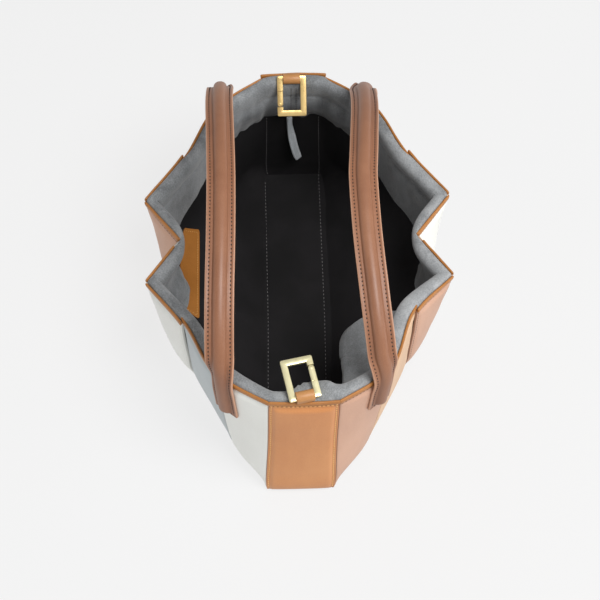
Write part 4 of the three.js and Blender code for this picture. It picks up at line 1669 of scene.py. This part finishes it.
@dataclass
class InnerPatch:
    """The stitched leather patch on the lining of one long wall."""

    form: Outline
    along: Pair = (-80.0, 25.0)
    low_across: float = -101.2
    inset: float = 6.0
    thickness: float = 1.4
    margin: float = 3.0
    corner: float = 3.0
    tall: float = 26.0
    skew: Pair = (0.36, -0.2)
    sewing: Sewing = field(default_factory=lambda: Sewing(
        "patch_stitches", Finishes.PALE_THREAD, length=1.8, pitch=2.9, radius=0.36
    ))

    def wall(self, x: Array, rise: Array) -> Array:
        """Find points of the left wall at places along the bag.

        Args:
            x: Places along the bag, place by row.
            rise: Ways up the wall from the patch's lower edge, of the same shape.

        Returns:
            Points, place by row.
        """
        strips = range(self.form.far_end + 1, self.form.count - 1)
        shares, levels = np.meshgrid(np.linspace(0, 1, 24, endpoint=False), np.linspace(0.2, 0.66, 47))
        sheet = np.concatenate(
            [self.form.wall(strip, shares, levels, -self.inset) for strip in strips], axis=1
        )
        lines = [line[np.argsort(line[:, 0])] for line in sheet]
        profiles = np.stack([
            np.stack([np.interp(x, line[:, 0], line[:, axis]) for axis in (1, 2)], axis=-1) for line in lines
        ], axis=2)
        grid = np.empty(rise.shape + (3,))
        grid[..., 0] = x
        for place in np.ndindex(rise.shape):
            line = profiles[place]
            way = run_lengths(line)
            at = np.interp(-self.low_across, -line[:, 0], way) + rise[place]
            grid[place][1:] = [np.interp(at, way, line[:, axis]) for axis in (0, 1)]
        return grid

    def build(self) -> None:
        """Make the patch and the row of stitches round it."""
        edge = np.array([0.0, 0.35, 0.9, 1.8, self.margin, 4.2, 6.0])
        long = self.along[1] - self.along[0]
        x = self.along[0] + np.concatenate([edge, np.linspace(8, long - 8, 44), long - edge[::-1]])
        rise = np.concatenate([edge, np.linspace(7.5, self.tall - 7.5, 8), self.tall - edge[::-1]])
        side = np.minimum(x - self.along[0], self.along[1] - x)
        cut = self.corner * (1 - np.sqrt(np.clip(1 - (1 - np.clip(side / self.corner, 0, 1)) ** 2, 0, 1)))
        ways = rise[None] + cut[:, None] * (1 - 2 * rise / self.tall)[None]
        skew = np.interp(x, self.along, self.skew)
        back = self.wall(x[:, None] + skew[:, None] * ways, ways)
        inwards = grid_normals(back)
        inwards *= np.sign(inwards[..., 1:2])
        way = np.minimum(side[:, None], np.minimum(rise, self.tall - rise)[None])
        drop = 0.6 * (1 - ramp(way, -0.2, 0.9)) + 0.3 * np.exp(-((way - self.margin) / 0.8) ** 2)
        front = back + inwards * (self.thickness - drop)[..., None]
        shell = Shell().slab(front, back, rim_mark=0.8)
        piece = shell.piece("inner_leather_patch", Finishes.PATCH, ["inner_patch"])
        line = slice(4, -4)
        for place in ((line, 4), (4, line), (-5, line)):
            self.sewing.row(front[place], inwards[place])
        self.sewing.piece()


@dataclass
class PullStrap:
    """The short suede strap, folded double, that hangs inside the far end."""

    form: Outline
    width: float = 8.6
    thickness: float = 2.4
    line: tuple[Triple, ...] = (
        (-5, 0.66, 6.5), (-4.5, 0.58, 8.5), (-2, 0.47, 11.5), (1, 0.37, 13.5), (4, 0.29, 13.0),
    )
    section: Table = (
        (-1, 0.5), (-0.97, 0.2), (-0.85, 0), (0.85, 0), (0.97, 0.2), (1, 0.5), (0.93, 0.52), (1, 0.56),
        (1, 0.8), (0.9, 1.0), (0.4, 1.06), (0, 1.02), (-0.4, 1.06), (-0.9, 1.0), (-1, 0.8), (-1, 0.56),
        (-0.93, 0.52),
    )
    faces: Triple = (0.75, 0.35, 0.55)
    stations: int = 48
    sewn: tuple[int, int] = (18, 45)
    sewn_margin: float = 1.5
    sewing: Sewing = field(default_factory=lambda: Sewing(
        "strap_stitches", Finishes.STRAP_THREAD, length=1.7, pitch=2.4, radius=0.26
    ))

    def build(self) -> None:
        """Make the strap and the looped row of stitches in its lower part."""
        table = np.array(self.line, dtype=float)
        share = np.linspace(0, 1, self.stations)
        rows = curve_through(np.linspace(0, 1, len(table)), table, share)
        middle = np.full(self.stations, 0.5)
        wall = self.form.wall(self.form.far_end, middle, rows[:, 1], -rows[:, 2])
        path = np.stack([wall[:, 0], rows[:, 0], wall[:, 2]], axis=1)
        run = unit(np.gradient(path, axis=0))
        faces = np.array(self.faces)
        out = unit(faces - run * (run @ faces)[:, None])
        side = np.cross(out, run)
        half = self.width / 2 * (0.66 + 0.34 * ramp(share, 0.15, 0.5)) * (1 - 0.12 * ramp(share, 0.9, 1.0))
        fold = np.array(self.section)
        rings = path[:, None] + side[:, None] * (fold[None, :, :1] * half[:, None, None])
        rings = rings + out[:, None] * fold[None, :, 1:] * self.thickness
        shell = Shell().tube(rings)
        piece = shell.piece("pull_strap_suede", Finishes.STRAP, ["pull_strap"])
        top = path + out * (self.thickness + 0.08)
        part = slice(*self.sewn)
        away = side[part] * (half[part] - self.sewn_margin)[:, None]
        loop = np.concatenate([(top[part] - away)[::-1], top[part] + away])
        self.sewing.row(loop, np.concatenate([out[part][::-1], out[part]]))
        self.sewing.piece()


@dataclass(frozen=True)
class HandlePlace:
    """Where a handle is: side, place on the strip, sewn end, how square its arch is, and its line across."""

    name: str
    side: int
    share: float
    end: float
    squareness: Pair
    across: tuple[float, ...]


@dataclass
class Handles:
    """The two leather handles, each a flat strap with a padded round core."""

    form: Outline
    rise: float = 92.0
    leave: float = 170.0
    twist_span: float = 0.3
    stand_off: float = 1.5
    steps: int = 22
    stations: int = 210
    places: tuple[HandlePlace, ...] = (
        HandlePlace("right", 1, 0.77, 122.0, (1.85, 1.5), (73, 70, 65, 60.5, 59.5, 63, 67, 68, 69)),
        HandlePlace("left", -1, 0.79, 112.0, (1.85, 1.75), (75.5, 75.2, 73.8, 71.7, 71, 72, 73.5, 73.5, 74)),
    )
    half_section: tuple[Triple, ...] = (
        (12.6, 0.0, 0.5), (13.1, 0.35, 0.9), (13.3, 1.1, 1.0), (13.2, 1.95, 1.0), (12.85, 2.45, 0.8),
        (12.3, 2.62, 0.3), (11.6, 2.6, 0.0), (10.9, 2.5, 0.0), (10.3, 2.25, 0.0), (9.9, 2.1, 0.0),
        (9.5, 2.25, 0.0), (8.8, 2.5, 0.0), (8.0, 2.58, 0.0), (7.2, 2.55, 0.0), (6.75, 2.65, 0.0),
        (6.5, 3.2, 0.0), (6.25, 4.2, 0.0), (5.7, 5.4, 0.0), (4.8, 6.5, 0.0), (3.5, 7.4, 0.0),
        (1.9, 8.0, 0.0),
    )
    crest: float = 8.2
    flange: float = 2.65
    core_ways: Pair = (1.5, 6.5)
    sewing_line: float = 9.9
    sewing_height: float = 2.25
    end_row: float = 2.4
    end_row_height: float = 2.55
    end_row_half: float = 9.0
    end_row_points: int = 9

    def sewn(self, place: HandlePlace, strip: int, share: float) -> Arrays:
        """Find the part of a handle that lies on a strip.

        Args:
            place: Where the handle is.
            strip: Number of the strip.
            share: Place across the strip.

        Returns:
            Points of the strap's back from its end up to where it leaves, and directions out of its face.
        """
        heights = np.array([place.end, (place.end + self.leave) / 2, self.leave])
        levels = (heights - self.form.foot) / (self.form.seam_rim - self.form.foot)
        shares = np.full(3, share)
        capped = np.minimum(levels, 1.0)
        back = self.form.wall(strip, shares, capped, self.stand_off)
        slope = (back[2] - back[1]) / (back[2, 2] - back[1, 2])
        back[2] += slope * (self.leave - back[2, 2])
        return back, self.form.normals(strip, shares, capped)

    def arch(
        self, place: HandlePlace, near: Arrays, far: Arrays
    ) -> Arrays:
        """Find the free part of a handle's line.

        Args:
            place: Where the handle is.
            near: Point where the near end leaves its strip, and the direction out of the strap there.
            far: The same for the far end.

        Returns:
            Points of the strap's back and directions out of its face.
        """
        way = np.arange(1, self.steps) / self.steps
        angle = way * math.pi
        power = 2 / np.where(way < 0.5, *place.squareness)
        along = np.sign(np.cos(angle)) * np.abs(np.cos(angle)) ** power
        up = np.sin(angle) ** power
        blend = ramp(up, 0, self.twist_span)
        table = np.array(place.across)[:, None]
        swayed = curve_through(np.linspace(0, 1, len(table)), table, way)[:, 0]
        height = self.leave + (self.form.seam_rim + self.rise - self.leave) * up
        leave, held = (np.where((along < 0)[:, None], there, here) for here, there in zip(near, far))
        across = leave[:, 1] + (place.side * swayed - leave[:, 1]) * blend
        points = np.stack([np.abs(leave[:, 0]) * along, across, height], axis=1)
        free = np.stack([np.cos(angle), np.zeros(len(way)), np.sin(angle)], axis=1)
        return points, free * blend[:, None] + held * (1 - blend)[:, None]

    def line(self, place: HandlePlace) -> Arrays:
        """Find the line of a handle.

        Args:
            place: Where the handle is.

        Returns:
            Points along the middle of the strap's back, and the direction out of its face at each.
        """
        far_end = self.form.far_end
        if place.side > 0:
            near = self.sewn(place, 0, place.share)
            far = self.sewn(place, far_end - 1, 1 - place.share)
        else:
            near = self.sewn(place, self.form.count - 2, 1 - place.share)
            far = self.sewn(place, far_end + 1, place.share)
        points, turned = self.arch(place, (near[0][2], near[1][2]), (far[0][2], far[1][2]))
        path = np.concatenate([near[0], points, far[0][::-1]])
        out = unit(np.concatenate([near[1], turned, far[1][::-1]]))
        way = run_lengths(path)
        even = np.linspace(0, way[-1], self.stations)
        return curve_through(way, path, even), unit(curve_through(way, out, even))

    def build_one(self, place: HandlePlace) -> None:
        """Make one handle with its two rows of stitches.

        Args:
            place: Where the handle is.
        """
        path, out = self.line(place)
        run = unit(np.gradient(path, axis=0))
        across = unit(np.cross(run, out))
        out = np.cross(across, run)
        half = np.array(self.half_section)
        section = np.concatenate([half, [(0.0, self.crest, 0.0)], half[::-1] * np.array([-1.0, 1.0, 1.0])])
        way = run_lengths(path)
        ends = np.minimum(way, way[-1] - way)
        core = ramp(ends, *self.core_ways)[:, None]
        raised = np.maximum(section[None, :, 1] - self.flange, 0)
        tall = np.minimum(section[None, :, 1], self.flange) + raised * core
        rings = path[:, None] + across[:, None] * section[None, :, :1] + out[:, None] * tall[..., None]
        shell = Shell().tube(rings, mark=section[:, 2])
        piece = shell.piece(f"{place.name}_handle", Finishes.HANDLE, [f"handle_{place.name}"], sharp=75.0)
        name = f"{place.name}_handle_stitches"
        # The handle stitches are dark for painted shade in their holes.
        sewing = Sewing(name, Finishes.DARK_THREAD_AND_PAINTED_SHADE, length=1.6, pitch=3.7, radius=0.68, sink=0.1)
        for turn in (-1, 1):
            row = path + across * self.sewing_line * turn + out * self.sewing_height
            sewing.row(row[2:-2], out[2:-2])
        for end, step in ((0, 1), (-1, -1)):
            middle = path[end] + run[end] * self.end_row * step + out[end] * self.end_row_height
            ways = np.linspace(-self.end_row_half, self.end_row_half, self.end_row_points)
            sewing.row(middle + across[end] * ways[:, None], np.tile(out[end], (self.end_row_points, 1)))
        sewing.piece()

    def build(self) -> None:
        """Make both handles."""
        for place in self.places:
            self.build_one(place)


@dataclass(frozen=True)
class RingPlace:
    """Where a ring sits: end of the bag, place across, turn and lean of its tab, and its own slope."""

    end: str
    sign: int
    across: float
    turn: float
    lean: float
    slope: float
    metal: Metal


@dataclass
class StrapRings:
    """The two metal rings with their sprung gates, and the leather tabs that hold them."""

    form: Outline
    width: float = 29.6
    length: float = 41.0
    bar: float = 6.0
    depth: float = 3.6
    corner: float = 1.8
    bevel: float = 0.42
    gate_from: float = 12.4
    gate_to: float = 28.2
    clearance: float = 0.3
    pivot_inset: float = 2.8
    tab_width: float = 17.0
    tab_thickness: float = 1.9
    hole: Pair = (3.5, 3.5)
    foot: float = 2.2
    end_place: float = 188.7
    rim_clear: float = 0.3
    crisp: float = 28.0
    gate_slack: Pair = (0.12, 0.1)
    gate_bevel: Table = ((0.0, 0.5), (0.15, 0.18), (0.5, 0.0))
    pin_bevel: Table = ((0.12, 0.62), (0.05, 0.8))
    pin_sides: int = 20
    tab_bevel: tuple[Triple, ...] = ((0.0, 0.55, 0.3), (0.18, 0.18, 0.1), (0.6, 0.0, 0.0))
    tab_sides: int = 48
    tab_row: Pair = (4.2, -3.1)
    tab_row_out: Pair = (0.95, -0.3)
    tab_row_inset: float = 1.6
    tab_row_points: int = 9
    places: tuple[RingPlace, ...] = (
        # The near ring's paler gold is painted reflection.
        RingPlace("near", 1, 1.0, 12.0, 8.0, 7.0, Finishes.PAINTED_LIGHT_GOLD),
        RingPlace("far", -1, -2.0, 0.0, 45.0, -46.0, Finishes.DEEP_GOLD),
    )

    def seat(self, place: RingPlace) -> Matrix:
        """Find the frame at the middle of the ring's lower bar, on the bag's rim.

        Args:
            place: Where the ring is.

        Returns:
            The frame, in millimetres.
        """
        rise = self.hole[1] + self.foot
        lean = math.radians(place.lean)
        rim = self.form.corner_rim + self.rim_clear
        base = Matrix.Translation((place.sign * self.end_place, place.across, rim))
        turn = Matrix.Rotation(math.radians(place.turn), 4, "Z")
        lift = Matrix.Translation((-place.sign * rise * math.sin(lean), 0, rise * math.cos(lean)))
        return base @ turn @ lift

    def tilt(self, place: RingPlace) -> Matrix:
        """Find the ring's own frame: lower bar along X, ring towards Y."""
        quarter = Matrix.Rotation(place.sign * math.pi / 2, 4, "Z")
        return self.seat(place) @ quarter @ Matrix.Rotation(math.radians(place.slope), 4, "X")

    @staticmethod
    def placed(matrix: Matrix, points: Array) -> Array:
        """Move points by a frame."""
        grid = np.array(matrix)
        return points @ grid[:3, :3].T + grid[:3, 3]

    def bar_section(self, width: float, depth: float) -> Array:
        """Draw a flat bar's section with eased bevels.

        Args:
            width: Width of the bar.
            depth: Depth of the bar.

        Returns:
            Points round the section.
        """
        w, d, b = width / 2, depth / 2, self.bevel
        quarter = [(w, d - b), (w - 0.3 * b, d - 0.3 * b), (w - b, d)]
        signs = ((1, 1, False), (-1, 1, True), (-1, -1, False), (1, -1, True))
        ring = []
        for sx, sy, back in signs:
            corner = [(sx * x, sy * y) for x, y in quarter]
            ring.extend(reversed(corner) if back else corner)
        return np.array(ring)

    def ring_sections(self) -> Array:
        """Lay out the ring's bar: sections from one lip of the gate's gap round to the other.

        Returns:
            Points of each section in the ring's own frame, square at the inner corners and eased outside.
        """
        section = self.bar_section(self.bar, self.depth)
        x = (self.width - self.bar) / 2
        low, top = 0.0, self.length - self.bar
        half = self.bar / 2
        way_in = section[:, 0] + half
        eased = 0.05 + self.corner * np.clip((way_in - self.bar + self.corner) / self.corner, 0, 1)
        corners = (
            ((x - half, top - half), (1, 0), (0, 1)), ((half - x, top - half), (0, 1), (-1, 0)),
            ((half - x, low + half), (-1, 0), (0, -1)), ((x - half, low + half), (0, -1), (1, 0)),
        )
        lips = [np.full(len(section), lip) for lip in (
            self.gate_to + self.clearance, self.gate_from - self.clearance,
        )]
        rings = [np.column_stack([x + section[:, 0], lips[0]])]
        for inner, first, second in corners:
            square = np.array(inner) + (way_in - eased)[:, None] * (np.array(first) + np.array(second))
            for angle in np.linspace(0, math.pi / 2, 6):
                turned = np.array(first) * math.cos(angle) + np.array(second) * math.sin(angle)
                rings.append(square + eased[:, None] * turned)
        rings.append(np.column_stack([x + section[:, 0], lips[1]]))
        flat = np.array(rings)
        height = np.broadcast_to(section[:, 1], flat.shape[:2])
        return np.concatenate([flat, height[..., None]], axis=2)

    def build_ring(self, place: RingPlace) -> None:
        """Make the ring's bar."""
        shell = Shell().tube(self.placed(self.tilt(place), self.ring_sections()))
        shell.piece(f"{place.end}_ring", place.metal, [f"ring_{place.end}"], sharp=self.crisp)

    def build_gate(self, place: RingPlace) -> None:
        """Make the sprung gate with its round pivot end and its pin.

        Args:
            place: Where the ring is.
        """
        half = self.bar / 2 - self.gate_slack[0]
        pivot = self.gate_to - self.pivot_inset
        turn = np.linspace(0, math.pi, 19)
        end = np.column_stack([half * np.cos(turn), pivot + half * np.sin(turn)])
        flat = np.concatenate([[(half, self.gate_from)], end, [(-half, self.gate_from)]])
        middle = np.array([0.0, (self.gate_from + pivot) / 2])
        x = (self.width - self.bar) / 2
        deep = self.depth / 2 - self.gate_slack[1]
        bevel = [(-deep + drop, inset) for drop, inset in self.gate_bevel]
        bevel += [(deep - drop, inset) for drop, inset in reversed(self.gate_bevel)]
        rings = []
        for height, inset in bevel:
            shrink = 1 - inset / np.array([half, (self.gate_to - self.gate_from) / 2])
            layer = middle + (flat - middle) * shrink
            rings.append(np.column_stack([layer[:, 0] + x, layer[:, 1], np.full(len(layer), height)]))
        shell = Shell()
        shell.tube(self.placed(self.tilt(place), np.array(rings)))
        angles = np.linspace(0, 2 * math.pi, self.pin_sides, endpoint=False)
        circle = np.column_stack([np.cos(angles), np.sin(angles), np.zeros(self.pin_sides)])
        rim = [(-deep - over, radius) for over, radius in self.pin_bevel]
        rim += [(deep + over, radius) for over, radius in reversed(self.pin_bevel)]
        pin = np.array([np.array([x, pivot, height]) + radius * circle for height, radius in rim])
        shell.tube(self.placed(self.tilt(place), pin))
        name, node, body = f"{place.end}_ring_gate", f"ring_gate_{place.end}", f"gate_{place.end}"
        shell.piece(name, place.metal, [node], body, self.crisp)

    def tab_outline(self, angles: Array) -> Arrays:
        """Draw the tab's outer outline and the hole for the bar, at the same angles.

        Args:
            angles: Angles round the bar.

        Returns:
            Points of the outline and of the hole.
        """
        a, b = self.hole
        t = self.tab_thickness
        hole = np.stack([a * np.cos(angles), b * np.sin(angles)], axis=1)
        low = b + self.foot
        outer = np.stack([(a + t) * np.cos(angles), (b + t) * np.sin(angles)], axis=1)
        below = np.sin(angles) < 0
        depth = np.clip(-np.sin(angles[below]), 0, 1)
        outer[below, 1] = -low * depth
        outer[below, 0] = np.sign(np.cos(angles[below])) * (a + t * (1 - depth)) * np.minimum(
            1.0, np.abs(np.cos(angles[below])) * 2.4
        )
        return outer, hole

    def build_tab(self, place: RingPlace) -> None:
        """Make the leather loop that holds the ring's lower bar, with its stitches.

        Args:
            place: Where the ring is.
        """
        angles = np.linspace(0, 2 * math.pi, self.tab_sides, endpoint=False)
        outer, hole = self.tab_outline(angles)
        lean = Matrix.Rotation(-place.sign * math.radians(place.lean), 4, "Y")
        frame_here = self.seat(place) @ lean
        half = self.tab_width / 2
        rows = [(-half + way, inset, grow) for way, inset, grow in self.tab_bevel]
        rows.append((0.0, 0.0, 0.0))
        rows += [(half - way, inset, grow) for way, inset, grow in reversed(self.tab_bevel)]
        front = np.empty((self.tab_sides, len(rows), 3))
        back = np.empty(front.shape)
        for row, (y, inset, grow) in enumerate(rows):
            front[:, row, ::2] = outer * (1 - inset / 5.2)
            back[:, row, ::2] = hole * (1 + grow / 3.2)
            front[:, row, 1] = y
            back[:, row, 1] = y
        front, back = (self.placed(frame_here, grid) for grid in (front, back))
        shell = Shell().slab(front, back, closed=True, rim_mark=0.6)
        shell.piece(f"{place.end}_ring_tab", Finishes.TAB, [f"ring_tab_{place.end}"], sharp=60.0)
        sewing = Sewing(f"{place.end}_tab_stitches", Finishes.TAN_THREAD, length=1.7, pitch=2.6, radius=0.32)
        low = np.zeros((self.tab_row_points, 3))
        low[:, 1] = np.linspace(-half + self.tab_row_inset, half - self.tab_row_inset, len(low))
        turned = np.array(frame_here)[:3, :3].T
        for turn in (-1, 1):
            low[:, ::2] = turn * self.tab_row[0], self.tab_row[1]
            out = np.array([turn * self.tab_row_out[0], 0.0, self.tab_row_out[1]])
            sewing.row(self.placed(frame_here, low), np.tile(out, (len(low), 1)) @ turned)
        sewing.piece()

    def build(self) -> None:
        """Make both rings with their gates and tabs."""
        for place in self.places:
            self.build_ring(place)
            self.build_gate(place)
            self.build_tab(place)


@dataclass
class BasePanel:
    """The flat leather bottom that the bag stands on."""

    form: Outline
    size: Pair = (378.0, 59.6)
    corner: float = 3.0
    layers: Table = (
        (0.0, 0.9), (0.25, 0.35), (0.8, 0.0), (1.8, 0.0), (2.35, 0.35), (2.6, 0.9),
    )

    def build(self) -> None:
        """Make the panel with eased edges."""
        half = np.array(self.size) / 2
        angles = np.linspace(0, math.pi / 2, 7)
        line = []
        for turn, (sx, sy) in enumerate(((1, 1), (-1, 1), (-1, -1), (1, -1))):
            middle = np.array([sx, sy]) * (half - self.corner)
            for angle in angles + turn * math.pi / 2:
                line.append(middle + self.corner * np.array([math.cos(angle), math.sin(angle)]))
        flat = np.array(line)
        rings = []
        for height, inset in self.layers:
            layer = flat * (1 - inset / half)
            layer[:, 1] -= self.form.sway(layer[:, 0])
            rings.append(np.column_stack([layer, np.full(len(layer), height)]))
        shell = Shell().tube(np.array(rings))
        shell.piece("bottom_panel", Finishes.TAN, ["base_panel"])


@dataclass(frozen=True)
class Lamp:
    """A large round lamp: name, power in watts, width and place in metres."""

    name: str
    power: float
    size: float
    place: Triple

    def build(self, aim: Triple) -> None:
        """Set the lamp so that it faces a point.

        Args:
            aim: The point.
        """
        lamp = bpy.data.lights.new(self.name, "AREA")
        lamp.shape = "DISK"
        lamp.size = self.size
        lamp.energy = self.power
        holder = bpy.data.objects.new(self.name, lamp)
        away = Vector(self.place)
        turn = (away - Vector(aim)).to_track_quat("Z", "Y")
        holder.matrix_world = Matrix.Translation(away) @ turn.to_matrix().to_4x4()
        bpy.context.scene.collection.objects.link(holder)


@dataclass
class Studio:
    """The pale floor, the soft light and the camera at the photograph's angle."""

    camera_place: Triple = (0.9537, -0.0253, 1.5115)
    forward: Triple = (-0.5444, 0.0153, -0.8387)
    right: Triple = (0.0281, 0.9996, 0.0)
    lens: float = 102.9
    sensor: float = 36.0
    floor_half: float = 4.0
    floor_points: int = 9
    sky: float = 0.34
    glow: float = 0.76
    aim: Triple = (0, 0, 0.1)
    lamps: tuple[Lamp, ...] = (
        Lamp("key lamp", 48.5, 1.2, (0.75, 0.7, 2.1)),
        Lamp("side lamp", 11.0, 1.2, (0.5, 2.2, 0.55)),
        Lamp("front lamp", 3.0, 1.6, (2.4, -0.7, 0.9)),
        Lamp("left lamp", 5.0, 1.4, (0.4, -2.2, 0.5)),
    )

    def build_camera(self) -> None:
        """Set the camera."""
        camera = bpy.data.cameras.new("photo camera")
        camera.lens = self.lens
        camera.sensor_width = self.sensor
        camera.clip_end = 50.0
        camera.dof.use_dof = False
        holder = bpy.data.objects.new("photo camera", camera)
        back = -Vector(self.forward).normalized()
        right = Vector(self.right).normalized()
        up = back.cross(right).normalized()
        right = up.cross(back)
        turn = Matrix((right, up, back)).transposed()
        holder.matrix_world = Matrix.Translation(self.camera_place) @ turn.to_4x4()
        bpy.context.scene.collection.objects.link(holder)
        bpy.context.scene.camera = holder

    def build_floor(self) -> None:
        """Lay the pale floor."""
        steps = np.linspace(-self.floor_half, self.floor_half, self.floor_points)
        points = [(x, y, 0.0) for x in steps.tolist() for y in steps.tolist()]
        starts = [i * len(steps) + j for i in range(len(steps) - 1) for j in range(len(steps) - 1)]
        faces = [(at, at + len(steps), at + len(steps) + 1, at + 1) for at in starts]
        mesh = bpy.data.meshes.new("studio_floor")
        mesh.from_pydata(points, [], faces)
        graph = Graph("studio paper")
        cloud = graph.cloud(graph.place(), 1.5, 2.0)
        colour = graph.blend(graph.fitted(cloud, 0.2, 0.8), (0.115, 0.115, 0.115), (0.125, 0.125, 0.125))
        mesh.materials.append(graph.finish({
            "Base Color": colour,
            "Roughness": 0.95,
            "Specular IOR Level": 0.05,
            "Emission Color": (1.0, 1.0, 1.0, 1.0),
            "Emission Strength": self.glow,
        }))
        floor = bpy.data.objects.new("studio_floor", mesh)
        bpy.context.scene.collection.objects.link(floor)

    def build_light(self) -> None:
        """Set an even sky, a large soft lamp overhead and weaker ones from the right, front and left."""
        world = bpy.data.worlds.new("studio sky")
        world.use_nodes = True
        sky = world.node_tree.nodes["Background"]
        sky.inputs["Color"].default_value = (1.0, 1.0, 1.0, 1.0)
        sky.inputs["Strength"].default_value = self.sky
        bpy.context.scene.world = world
        for lamp in self.lamps:
            lamp.build(self.aim)

    def build(self) -> None:
        """Set camera, floor and light."""
        self.build_camera()
        self.build_floor()
        self.build_light()
        bpy.context.scene.view_settings.view_transform = "Standard"


def main() -> None:
    """Build the studio and the bag, piece by piece."""
    logging.basicConfig(level=logging.INFO, format="%(name)s %(message)s")
    form = Outline()
    facing = SuedeFacing(form)
    Studio().build()
    BasePanel(form).build()
    LeatherStrips(form).build()
    facing.build()
    Lining(form, facing).build()
    InnerPatch(form).build()
    PullStrap(form).build()
    Handles(form).build()
    StrapRings(form).build()


if __name__ == "__main__":
    main()
